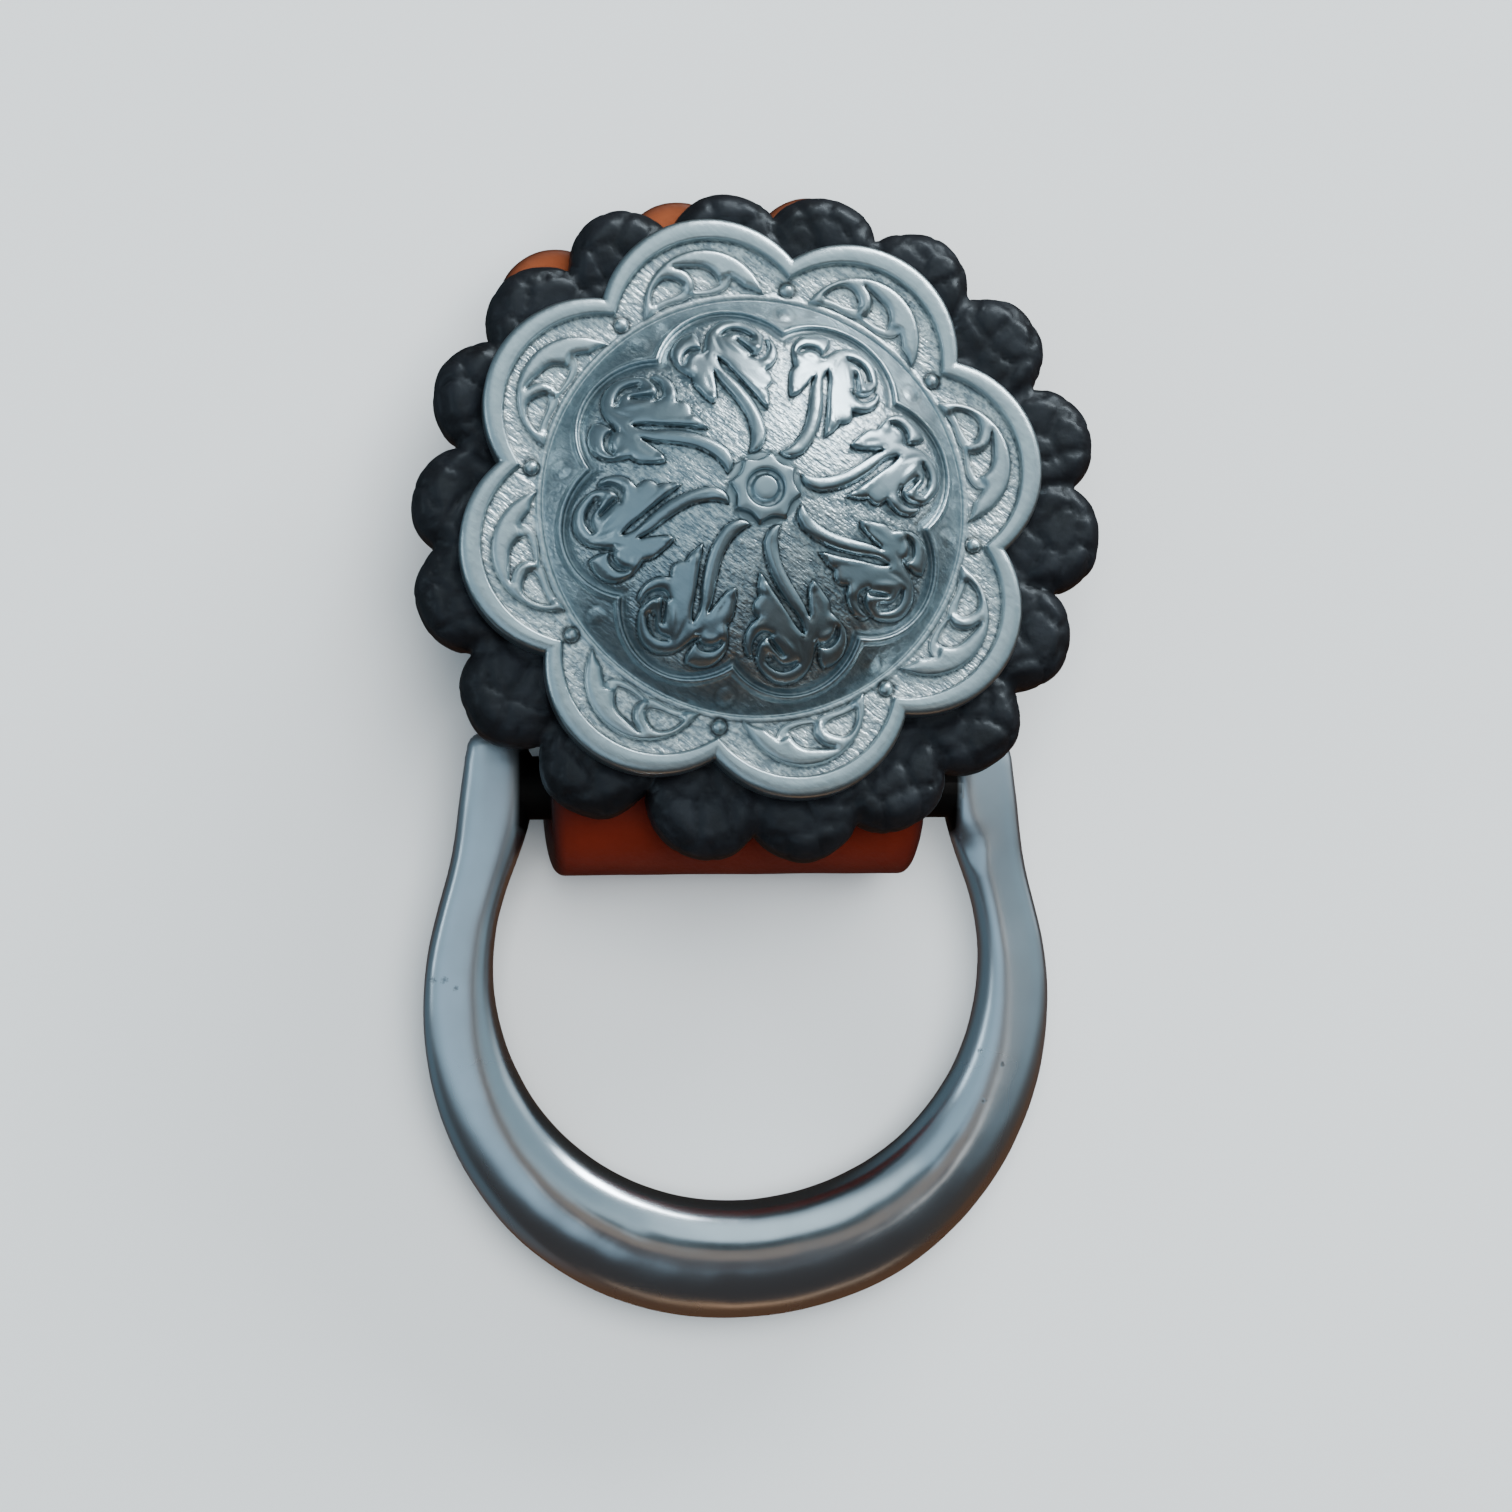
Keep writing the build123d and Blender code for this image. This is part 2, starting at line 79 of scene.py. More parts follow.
# One scroll leaf of the dome, lobe pointing up, in hundredths of the dome's radius: (across, out)
SCROLL_LEAF = [
    [(-3.5, 18.0), (-0.7, 23.7), (0.4, 30.4), (-0.2, 37.0), (-2.2, 43.7), (-4.8, 50.4), (-7.0, 56.3),
     (-8.0, 61.1)],
    [(-8.0, 61.1), (-8.5, 56.3), (-9.3, 51.5), (-10.5, 47.4), (-12.6, 45.2)],
    [(-12.6, 45.2), (-14.8, 47.8), (-17.0, 52.2), (-18.9, 56.7), (-18.5, 60.7)],
    [(-18.5, 60.7), (-21.9, 64.8), (-24.4, 70.0), (-24.1, 75.6), (-21.1, 80.4), (-16.3, 83.3),
     (-11.1, 84.4)],
    [(-11.1, 84.4), (-9.3, 80.7), (-9.6, 76.3), (-10.0, 72.6)],
    [(-10.0, 72.6), (-7.8, 77.0), (-5.6, 81.5), (-1.9, 85.2), (3.0, 87.4), (8.1, 87.4), (13.3, 85.2),
     (17.4, 80.7), (19.6, 76.3), (20.1, 73.0)],
    [(20.1, 73.0), (23.0, 71.9), (24.4, 67.8), (23.3, 62.6), (20.0, 58.5), (15.6, 56.3)],
    [(15.6, 56.3), (17.4, 53.3), (17.0, 50.0), (13.7, 47.0)],
    [(13.7, 47.0), (13.7, 43.7), (12.6, 40.0), (11.1, 36.3)],
    [(11.1, 36.3), (9.3, 39.6), (7.0, 44.8), (4.1, 51.5), (1.5, 57.4), (-1.1, 63.3), (-4.1, 67.8)],
    [(-4.1, 67.8), (-3.7, 62.2), (0.0, 55.2), (3.1, 48.9), (5.6, 42.2), (7.0, 35.6), (7.3, 29.6),
     (6.8, 24.4)],
    [(6.8, 24.4), (4.4, 20.4), (0.7, 17.8), (-3.5, 18.0)],
]

# Cuts through the scroll leaf, in millimetres: (across, out, half width)
SCROLL_CUTS = [
    [(0.20, 10.75, 0.06), (0.55, 10.85, 0.12), (1.05, 10.85, 0.16), (1.50, 10.60, 0.21),
     (1.83, 10.18, 0.24)],
    [(1.05, 10.10, 0.05), (1.25, 9.75, 0.09), (1.45, 9.40, 0.09), (1.62, 9.05, 0.07)],
    [(2.72, 9.75, 0.08), (2.62, 9.25, 0.15), (2.35, 8.85, 0.17), (1.95, 8.68, 0.15), (1.55, 8.80, 0.07)],
    [(-2.75, 9.28, 0.05), (-2.60, 9.66, 0.11), (-2.25, 9.98, 0.13), (-1.82, 10.10, 0.11),
     (-1.45, 9.98, 0.05)],
]

# Soft ribs and furrows on the scroll leaf, in millimetres: (across, out, half width, height)
SCROLL_RIBS = [
    [(0.95, 10.35, 0.22, 0.02), (1.35, 10.00, 0.28, 0.06), (1.70, 9.60, 0.30, 0.09),
     (1.98, 9.30, 0.32, 0.11), (2.30, 9.45, 0.26, 0.08), (2.42, 9.85, 0.20, 0.03)],
    [(0.20, 10.25, 0.20, 0.02), (0.45, 9.90, 0.30, 0.07), (0.75, 9.45, 0.28, 0.07),
     (0.98, 9.05, 0.20, 0.02)],
    [(-2.35, 9.30, 0.24, 0.04), (-2.05, 9.55, 0.34, 0.09), (-1.60, 9.60, 0.24, 0.03)],
    [(0.55, 3.00, 0.26, 0.02), (0.62, 3.60, 0.32, 0.05), (0.55, 4.60, 0.34, 0.07),
     (0.30, 5.70, 0.32, 0.07), (-0.10, 6.80, 0.28, 0.05), (-0.55, 7.90, 0.22, 0.02)],
    [(0.10, 8.20, 0.24, 0.02), (0.65, 7.30, 0.26, 0.06), (1.10, 6.50, 0.28, 0.08),
     (1.35, 5.80, 0.26, 0.06)],
]
SCROLL_FURROWS = [
    [(-1.30, 11.25, 0.20, 0.06), (-1.18, 10.60, 0.22, 0.12), (-1.22, 9.80, 0.20, 0.10),
     (-1.40, 9.20, 0.16, 0.03)],
    [(-0.30, 11.05, 0.14, 0.02), (-0.32, 10.40, 0.18, 0.07), (-0.28, 9.80, 0.18, 0.07),
     (-0.10, 9.30, 0.14, 0.02)],
    [(-1.62, 8.10, 0.16, 0.02), (-1.66, 7.50, 0.22, 0.06), (-1.64, 6.90, 0.18, 0.04)],
    [(-2.95, 10.45, 0.14, 0.03), (-2.50, 10.85, 0.18, 0.07), (-1.90, 11.15, 0.16, 0.04)],
]
# Tips of the leaf that stand highest: (across, out, radius, height)
SCROLL_TIPS = [(1.40, 5.15, 0.55, 0.12), (1.42, 6.05, 0.50, 0.08), (2.30, 8.00, 0.60, 0.10),
               (-1.62, 6.35, 0.60, 0.12), (-2.60, 8.75, 0.60, 0.10), (1.95, 9.22, 0.50, 0.07),
               (0.30, 2.95, 0.60, 0.06)]

# The crescent leaf of a border lobe, in hundredths of its radius from its own centre: its lower edge
# from the right tip to the left one, and its two windows
CRESCENT_EDGE = [
    [(100.0, 3.0), (83.0, 16.0), (69.0, 23.0)],
    [(69.0, 23.0), (61.0, 34.0), (54.0, 41.0)],
    [(54.0, 41.0), (48.0, 31.0), (34.0, 23.5), (14.0, 22.0), (-5.0, 24.5), (-16.0, 26.0)],
    [(-16.0, 26.0), (-29.0, 21.5), (-48.0, 20.0), (-70.0, 15.5), (-88.0, 7.0), (-100.0, 3.0)],
]
CRESCENT_WINDOWS = [
    [[(-83.0, 26.0), (-79.0, 41.0), (-69.0, 55.0), (-54.0, 62.5), (-39.0, 58.5), (-29.0, 49.0),
     (-29.0, 39.5)],
     [(-29.0, 39.5), (-41.0, 34.5), (-61.0, 31.0), (-83.0, 26.0)]],
    [[(-35.0, 79.0), (-18.0, 76.0), (-3.0, 72.5), (11.0, 68.5), (24.0, 58.5), (30.0, 46.0), (31.5, 37.0)],
     [(31.5, 37.0), (17.5, 34.0), (2.5, 33.0), (-11.0, 34.5)],
     [(-11.0, 34.5), (-6.5, 45.5), (-9.0, 58.5), (-18.0, 70.0), (-35.0, 79.0)]],
]
CRESCENT_RIBS = [
    [(-3.25, 14.15, 0.20, 0.02), (-2.30, 14.28, 0.26, 0.05), (-1.30, 14.35, 0.22, 0.03)],
    [(-1.05, 14.60, 0.26, 0.02), (-0.72, 15.15, 0.32, 0.06), (-0.85, 15.75, 0.32, 0.05),
     (-1.40, 16.05, 0.24, 0.02)],
]

# The rosettes: tip radius, lobe radius, thickness, rounding of the edge, turn in degrees, middle, and for
# each lobe its lean from even spacing in degrees and its reach as a share of the tip radius
BLACK = {"radius": 22.6, "lobe": 3.75, "disc": 18.2, "thickness": 2.8, "bend": 1.15, "turn": 16.5,
         "middle": (0.9, -0.5), "lobes": [
             (-0.6, 0.998), (0.4, 0.994), (0.4, 0.987), (0.5, 0.976), (0.0, 0.964), (0.9, 0.995),
             (0.7, 1.007), (-1.1, 1.012), (0.0, 0.995), (-2.5, 1.010), (-2.2, 1.008), (-1.8, 0.993),
             (1.0, 0.980), (0.5, 0.975), (-1.0, 0.965), (-1.0, 0.960), (-0.6, 0.956), (0.9, 0.981)]}
TAN = {"radius": 20.9, "lobe": 3.6, "disc": 18.2, "thickness": 2.2, "bend": 0.5, "turn": 20.0,
       "middle": (0.2, 1.0), "lobes": [
           (0.0, 0.970), (-1.6, 0.978), (0.0, 1.018), (1.3, 0.996), (2.0, 1.043), (0.0, 0.955),
           (0.0, 0.930), (0.0, 0.950), (0.0, 0.970), (0.0, 0.975), (0.0, 0.975), (0.0, 0.970), (0.0, 0.970)]}

TAN_BOTTOM = LAYER_GAP
BLACK_BOTTOM = TAN_BOTTOM + TAN["thickness"] + LAYER_GAP
CONCHO_BACK = BLACK_BOTTOM + BLACK["thickness"] + LAYER_GAP

# Ring: (turn from straight down, share of the way from the bottom's section to the arm's)
RING_SECTIONS = [(0, 0.00), (24, 0.05), (48, 0.30), (72, 0.66), (92, 0.92), (110, 1.00)]
# The ring's pits: across and along the part, and how wide each is
RING_PITS = [(-21.13, -14.11, 0.20), (-20.42, -14.03, 0.22), (-19.59, -14.59, 0.15),
             (15.43, -19.26, 0.15), (16.85, -20.16, 0.16), (15.61, -22.57, 0.14)]
RING = {"opening": 16.1, "centre_from_bar": 11.9, "bottom": (8.0, 6.0), "arm": (4.1, 4.2), "lug": (4.9, 4.4),
        "lug_from_middle": 15.85, "lug_reach": 3.7, "lug_end": 0.8, "bar": 2.1, "rest": radians(3.9063)}
STRAP = {"width": 24.7, "thickness": 2.8, "offset": -0.35, "above_screw": 14.0, "slack": 0.6, "ply_gap": 0.1,
         "loop": 2.4, "knee_from_bar": 2.0, "join_from_bar": 11.0, "knee": 14.0, "bar_to_screw": 16.6,
         "head": 4.7, "head_depth": 1.25, "corner": 0.85, "front_steps": 33, "fold_steps": 30}

# The camera: its angle in degrees, the way back to it, how far over the concho's back it looks, and where it
# stands from there across, above and back
VIEW = {"angle": 24.38, "back": (-0.125, 0.03, 0.9917), "looks_over": 1.9,
        "from_there": (0.079, -15.96, 222.49)}


# Lines and distances on a flat drawing

def ease(share):
    """0 below 0, 1 above 1 and smooth between."""
    share = np.clip(share, 0.0, 1.0)
    return share * share * (3.0 - 2.0 * share)


def lengths_along(line):
    """How far along an open line each of its places is."""
    return np.concatenate([[0.0], np.cumsum(np.hypot(*np.diff(line, axis=0).T))])


def smooth_line(rows, step):
    """Rows of numbers, the first two of them a place, joined by a smooth line and read a step apart."""
    rows = np.array(rows, float)
    count = len(rows)
    knots = lengths_along(rows[:, :2])
    gaps = np.diff(knots)
    system = np.eye(count)
    right = np.zeros(rows.shape)
    for i in range(1, count - 1):
        system[i, i - 1:i + 2] = gaps[i - 1], 2 * (gaps[i - 1] + gaps[i]), gaps[i]
        right[i] = 6 * ((rows[i + 1] - rows[i]) / gaps[i] - (rows[i] - rows[i - 1]) / gaps[i - 1])
    bend = np.linalg.solve(system, right)
    places = np.linspace(0.0, knots[-1], max(2, ceil(knots[-1] / step) + 1))
    i = np.clip(np.searchsorted(knots, places, side="right") - 1, 0, count - 2)
    gap = gaps[i][:, None]
    a = (knots[i + 1] - places)[:, None] / gap
    b = 1.0 - a
    return a * rows[i] + b * rows[i + 1] + ((a**3 - a) * bend[i] + (b**3 - b) * bend[i + 1]) * gap**2 / 6


def closed_outline(stretches, unit, centre_out, step):
    """Smooth stretches between corners as one closed anticlockwise line, its first point not repeated."""
    line = []
    for rows in stretches:
        line += [(x * unit, centre_out + y * unit) for x, y in smooth_line(rows, step / unit)[:-1]]
    line = np.array(line)
    x, y = line.T
    if np.sum(x * np.roll(y, -1) - np.roll(x, -1) * y) < 0:
        line = line[::-1].copy()
    return line


def runs_along(spots, line):
    """For each run of a line: how far each spot is from it, and what else the line's rows say there."""
    for start, end in zip(line[:-1], line[1:]):
        run = end[:2] - start[:2]
        share = np.clip((spots - start[:2]) @ run / (run @ run), 0.0, 1.0)[:, None]
        yield np.hypot(*(spots - start[:2] - share * run).T), (start[2:] + share * (end - start)[2:]).T


def line_distance(spots, line):
    """How far each spot is from an open line."""
    return np.min([away for away, _ in runs_along(spots, line)], axis=0)


def depth_inside(spots, outline):
    """How far each spot is inside a closed outline, negative outside."""
    inside = np.zeros(len(spots), bool)
    x, y = spots.T
    for (ax, ay), (bx, by) in zip(outline, np.roll(outline, -1, axis=0)):
        if ay != by:
            inside ^= ((ay > y) != (by > y)) & (x < ax + (y - ay) * (bx - ax) / (by - ay))
    away = line_distance(spots, np.vstack([outline, outline[:1]]))
    return np.where(inside, away, -away)


def stroke(spots, rows):
    """A half-round stroke along rows of (across, out, half width, height): its height at each spot."""
    best = np.zeros(len(spots))
    for away, (half, height) in runs_along(spots, smooth_line(rows, 0.15)):
        best = np.maximum(best, height * np.clip(1.0 - (away / half)**2, 0.0, 1.0)**2)
    return best


def cut_reach(spots, rows):
    """How far each spot is inside a cut along rows of (across, out, half width), negative outside."""
    return np.max([half - away for away, (half,) in runs_along(spots, smooth_line(rows, 0.12))], axis=0)


def beside(line, offset, closed):
    """The line moved to its left by the offset."""
    if closed:
        way = np.roll(line, -1, axis=0) - np.roll(line, 1, axis=0)
    else:
        way = np.gradient(line, axis=0)
    way /= np.hypot(*way.T)[:, None]
    return line + offset * np.column_stack([-way[:, 1], way[:, 0]])


# A flat drawing of points and edges that is filled with triangles

def new_plan():
    """An empty drawing."""
    return {"spots": [], "edges": []}


def lay_row(plan, line, keep, spacing=0.035, closed=False):
    """Adds the kept points of a line that aren't crowded, and the edges between neighbours."""
    keep = np.array(keep).copy()
    if plan["spots"]:
        known = np.array(plan["spots"])
        for i in np.nonzero(keep)[0]:
            if np.min(np.abs(known - line[i]).sum(axis=1)) < spacing:
                keep[i] = False
    numbers = []
    for spot, kept in zip(line, keep):
        numbers.append(len(plan["spots"]) if kept else None)
        if kept:
            plan["spots"].append((float(spot[0]), float(spot[1])))
    pairs = list(zip(numbers[:-1], numbers[1:]))
    if closed:
        pairs.append((numbers[-1], numbers[0]))
    plan["edges"] += [(a, b) for a, b in pairs if a is not None and b is not None]


def honeycomb(low_x, low_y, wide, high, pitch, spare):
    """Evenly spread points from a low corner, with a spare number of rows and columns."""
    rise = 0.866
    return np.array([(low_x + pitch * (i + 0.5 * (j % 2)), low_y + pitch * rise * j)
                     for j in range(int(high / (pitch * rise)) + spare)
                     for i in range(int(wide / pitch) + spare)])


def lay_grid(plan, box, pitch, keep_test, room):
    """Fills what is left with a honeycomb of points that keep their distance from those laid so far."""
    low_x, low_y, high_x, high_y = box
    spots = honeycomb(low_x, low_y, high_x - low_x, high_y - low_y, pitch, 1)
    spots = spots[keep_test(spots)]
    known = np.array(plan["spots"])
    cells = {}
    for i, (x, y) in enumerate(known):
        cells.setdefault((int(x // room), int(y // room)), []).append(i)
    for x, y in spots:
        cell = (int(x // room), int(y // room))
        near = [k for i in (-1, 0, 1) for j in (-1, 0, 1) for k in cells.get((cell[0] + i, cell[1] + j), ())]
        if not near or np.min(np.hypot(*(known[near] - (x, y)).T)) > room:
            plan["spots"].append((float(x), float(y)))


def fill(plan, rims):
    """Triangles over the drawing inside its rims: places and corner numbers."""
    found = delaunay_2d_cdt([Vector(spot) for spot in plan["spots"]], plan["edges"], rims, 1, 1e-6)
    return np.array([(v[0], v[1]) for v in found[0]]), [tuple(face) for face in found[2]]


def numbers_of(line, spots):
    """The number of the filled drawing's point at each place of a line."""
    return [int(np.argmin(np.abs(spots - place).sum(axis=1))) for place in np.asarray(line)]


# Meshes

def new_piece(name, points, faces, marks=None):
    """An object in metres from points in millimetres, with named numbers for its finish on each point."""
    mesh = bpy.data.meshes.new(name)
    mesh.from_pydata((np.asarray(points) * MM).tolist(), [], faces)
    for label, values in (marks or {}).items():
        add_mark(mesh, label, values)
    mesh.shade_smooth()
    piece = bpy.data.objects.new(name, mesh)
    bpy.context.scene.collection.objects.link(piece)
    return piece


def weld(mesh, distance, outwards=False):
    """Merges points that meet, and turns the faces outwards where asked."""
    work = bmesh.new()
    work.from_mesh(mesh)
    bmesh.ops.remove_doubles(work, verts=work.verts, dist=distance)
    bmesh.ops.dissolve_degenerate(work, edges=work.edges, dist=1e-8)
    if outwards:
        bmesh.ops.recalc_face_normals(work, faces=work.faces)
    work.to_mesh(mesh)
    work.free()


def add_mark(mesh, label, values, kind="FLOAT"):
    """Named numbers on each point of a mesh: one each, or a place each in metres."""
    layer = mesh.attributes.new(label, kind, "POINT")
    layer.data.foreach_set("value" if kind == "FLOAT" else "vector", np.asarray(values, np.float32).ravel())


def combine(piece, tool, operation):
    """Cuts a tool out of a piece or casts it in one with the piece, and removes the tool."""
    change = piece.modifiers.new("combine", "BOOLEAN")
    change.operation, change.solver, change.object = operation, "EXACT", tool
    bpy.context.view_layer.update()
    mesh = bpy.data.meshes.new_from_object(piece.evaluated_get(bpy.context.evaluated_depsgraph_get()))
    piece.modifiers.remove(change)
    piece.data = mesh
    bpy.data.objects.remove(tool)


def mesh_points(mesh):
    """A mesh's points in millimetres."""
    flat = np.empty(len(mesh.vertices) * 3)
    mesh.vertices.foreach_get("co", flat)
    return flat.reshape(-1, 3) / MM


def move_points(mesh, points):
    """Puts a mesh's points where the millimetres say."""
    mesh.vertices.foreach_set("co", (np.asarray(points) * MM).ravel())
    mesh.update()


def unevenness(points, pace, shift=0.0):
    """A slow random number for each point."""
    return np.array([noise.noise(Vector(point * pace + shift)) for point in points])


def outward_ways(mesh):
    """Which way is out of a mesh at each of its points."""
    return np.array([v.normal[:] for v in mesh.vertices])


def on_seat(points):
    """Points drawn across, up and out of the seat under the rosettes, moved to their place."""
    points = np.asarray(points)
    return SEAT + points[:, :1] * ACROSS + points[:, 1:2] * UP_SLOPE + points[:, 2:] * OUT


# Node trees that make meshes

def new_tree(name, inputs):
    """A tree that takes a mesh and named inputs, and its ends."""
    tree = bpy.data.node_groups.new(name, "GeometryNodeTree")
    tree.interface.new_socket("Mesh", in_out="INPUT", socket_type="NodeSocketGeometry")
    for label, kind in inputs:
        tree.interface.new_socket(label, in_out="INPUT", socket_type=kind)
    tree.interface.new_socket("Mesh", in_out="OUTPUT", socket_type="NodeSocketGeometry")
    return tree, tree.nodes.new("NodeGroupInput"), tree.nodes.new("NodeGroupOutput")


def node(tree, kind, *plugs, **values):
    """Adds a node, sets its options and joins what is plugged into it: (socket, source)."""
    made = tree.nodes.new(kind)
    for label, value in values.items():
        setattr(made, label, value)
    for socket, source in plugs:
        if isinstance(source, bpy.types.NodeSocket):
            tree.links.new(source, made.inputs[socket])
        else:
            made.inputs[socket].default_value = source
    return made


def end_tree(tree, last, way_out, start):
    """Ends a tree with real geometry and its finish."""
    real = node(tree, "GeometryNodeRealizeInstances", (0, last)).outputs[0]
    coated = node(tree, "GeometryNodeSetMaterial", (0, real), ("Material", start.outputs["Finish"]))
    tree.links.new(coated.outputs[0], way_out.inputs[0])


def grow(piece, tree, values):
    """Runs the tree on the piece with its inputs set, and keeps the result as its plain mesh."""
    modifier = piece.modifiers.new(tree.name, "NODES")
    modifier.node_group = tree
    for item in tree.interface.items_tree:
        if item.in_out == "INPUT" and item.name in values:
            modifier[item.identifier] = values[item.name]
    piece.update_tag()
    bpy.context.view_layer.update()
    evaluated = piece.evaluated_get(bpy.context.evaluated_depsgraph_get())
    mesh = bpy.data.meshes.new_from_object(evaluated)
    piece.modifiers.remove(modifier)
    piece.data = mesh
    return piece


def repeat_tree():
    """One sector repeated evenly round the axis."""
    tree, start, way_out = new_tree("repeat round the axis", [
        ("Count", "NodeSocketInt"), ("First turn", "NodeSocketFloat"), ("Finish", "NodeSocketMaterial")])
    places = node(tree, "GeometryNodeMeshLine", ("Count", start.outputs["Count"]), ("Offset", (0, 0, 0)))
    number = node(tree, "GeometryNodeInputIndex")
    pitch = node(tree, "ShaderNodeMath", (0, 2 * pi), (1, start.outputs["Count"]), operation="DIVIDE")
    turn = node(tree, "ShaderNodeMath", (0, number.outputs[0]), (1, pitch.outputs[0]),
                (2, start.outputs["First turn"]), operation="MULTIPLY_ADD")
    turned = node(tree, "ShaderNodeCombineXYZ", ("Z", turn.outputs[0]))
    copies = node(tree, "GeometryNodeInstanceOnPoints", ("Points", places.outputs[0]),
                  ("Instance", start.outputs["Mesh"]), ("Rotation", turned.outputs[0]))
    end_tree(tree, copies.outputs[0], way_out, start)
    return tree


def sweep_tree():
    """A profile carried along rows: each has a centre, two half sizes and a share of the flat profile."""
    tree, start, way_out = new_tree("sweep a profile along rows", [
        ("Round profile", "NodeSocketObject"), ("Flat profile", "NodeSocketObject"),
        ("Finish", "NodeSocketMaterial")])
    rows = start.outputs["Mesh"]
    row_count = node(tree, "GeometryNodeAttributeDomainSize", (0, rows)).outputs["Point Count"]
    profiles = [node(tree, "GeometryNodeObjectInfo", ("Object", start.outputs[label])).outputs["Geometry"]
                for label in ("Round profile", "Flat profile")]
    around = node(tree, "GeometryNodeAttributeDomainSize", (0, profiles[0])).outputs["Point Count"]
    sizes = [node(tree, "ShaderNodeMath", (0, count), (1, 1.0), operation="SUBTRACT").outputs[0]
             for count in (row_count, around)]
    grid = node(tree, "GeometryNodeMeshGrid", ("Size X", sizes[0]), ("Size Y", sizes[1]),
                ("Vertices X", row_count), ("Vertices Y", around))
    place = node(tree, "ShaderNodeSeparateXYZ", (0, node(tree, "GeometryNodeInputPosition").outputs[0]))
    numbers = []
    for axis, size in enumerate(sizes):
        from_edge = node(tree, "ShaderNodeMath", (0, size), (1, 0.5), (2, place.outputs[axis]),
                         operation="MULTIPLY_ADD")
        whole = node(tree, "ShaderNodeMath", (0, from_edge.outputs[0]), operation="ROUND")
        numbers.append(whole.outputs[0])
    spot = node(tree, "GeometryNodeInputPosition").outputs[0]

    def read(mesh, value, kind, number):
        return node(tree, "GeometryNodeSampleIndex", (0, mesh), (1, value), ("Index", number),
                    data_type=kind).outputs[0]

    def named(label, kind):
        return node(tree, "GeometryNodeInputNamedAttribute", ("Name", label), data_type=kind).outputs[0]

    centre = read(rows, spot, "FLOAT_VECTOR", numbers[0])
    half_across = read(rows, named("half_across", "FLOAT_VECTOR"), "FLOAT_VECTOR", numbers[0])
    half_up = read(rows, named("half_up", "FLOAT_VECTOR"), "FLOAT_VECTOR", numbers[0])
    flatness = read(rows, named("flatness", "FLOAT"), "FLOAT", numbers[0])
    shapes = [read(profile, spot, "FLOAT_VECTOR", numbers[1]) for profile in profiles]
    shape = node(tree, "ShaderNodeMix", ("Factor", flatness), (4, shapes[0]), (5, shapes[1]),
                 data_type="VECTOR")
    parts = node(tree, "ShaderNodeSeparateXYZ", (0, shape.outputs[1])).outputs
    one = node(tree, "ShaderNodeVectorMath", (0, half_across), ("Scale", parts[0]), operation="SCALE")
    two = node(tree, "ShaderNodeVectorMath", (0, half_up), ("Scale", parts[1]), operation="SCALE")
    both = node(tree, "ShaderNodeVectorMath", (0, one.outputs[0]), (1, two.outputs[0]), operation="ADD")
    moved = node(tree, "ShaderNodeVectorMath", (0, centre), (1, both.outputs[0]), operation="ADD")
    swept = node(tree, "GeometryNodeSetPosition", (0, grid.outputs[0]), ("Position", moved.outputs[0]))
    end_tree(tree, swept.outputs[0], way_out, start)
    return tree


REPEAT = repeat_tree()
SWEEP = sweep_tree()


def sweep(name, rows, round_profile, flat_profile, finish):
    """A closed shell along rows of (centre, half across, half up, flatness), with profiles in unit sizes."""
    helpers = []
    for label, profile in (("round", round_profile), ("flat", flat_profile)):
        points = np.column_stack([profile, np.zeros(len(profile))]) / MM
        helpers.append(new_piece(f"{name} {label}", points, []))
    piece = new_piece(name, [row[0] for row in rows], [])
    for label, column in (("half_across", 1), ("half_up", 2)):
        add_mark(piece.data, label, np.array([row[column] for row in rows]) * MM, "FLOAT_VECTOR")
    add_mark(piece.data, "flatness", [row[3] for row in rows])
    grow(piece, SWEEP, {"Round profile": helpers[0], "Flat profile": helpers[1], "Finish": finish})
    for helper in helpers:
        bpy.data.objects.remove(helper)
    weld(piece.data, 2e-6, outwards=True)
    piece.data.shade_smooth()
    return piece


# Finishes

def new_finish(name, colour, metallic, roughness):
    """A material with its shader, ready for its pattern."""
    finish = bpy.data.materials.new(name)
    finish.use_nodes = True
    shader = finish.node_tree.nodes["Principled BSDF"]
    shader.inputs["Base Color"].default_value = (*colour, 1)
    shader.inputs["Metallic"].default_value = metallic
    shader.inputs["Roughness"].default_value = roughness
    return finish, finish.node_tree, shader


def object_place(tree, scale=(1, 1, 1), turn=(0, 0, 0)):
    """Object coordinates in metres, turned and then scaled for a pattern."""
    place = node(tree, "ShaderNodeTexCoord").outputs["Object"]
    if turn != (0, 0, 0):
        place = node(tree, "ShaderNodeMapping", ("Vector", place), ("Rotation", turn)).outputs[0]
    return node(tree, "ShaderNodeMapping", ("Vector", place), ("Scale", scale)).outputs[0]


def speckle(tree, place, scale, detail=3.0, roughness=0.55):
    """Cloudy noise from 0 to 1."""
    return node(tree, "ShaderNodeTexNoise", ("Vector", place), ("Scale", scale), ("Detail", detail),
                ("Roughness", roughness)).outputs[0]


def mark(tree, label):
    """A number that the mesh carries for its finish."""
    return node(tree, "ShaderNodeAttribute", attribute_name=label).outputs["Fac"]


def away_from(tree, spot, axes):
    """How far a place is from a spot in millimetres, measured only along the axes that are 1."""
    target = tuple(float(along * axis * MM) for along, axis in zip(spot, axes))
    return node(tree, "ShaderNodeVectorMath", (0, object_place(tree, axes)), (1, target),
                operation="DISTANCE").outputs["Value"]


def spread(tree, value, low, high, new_low, new_high):
    """A value carried from one range to another."""
    return node(tree, "ShaderNodeMapRange", ("Value", value), ("From Min", low), ("From Max", high),
                ("To Min", new_low), ("To Max", new_high)).outputs[0]


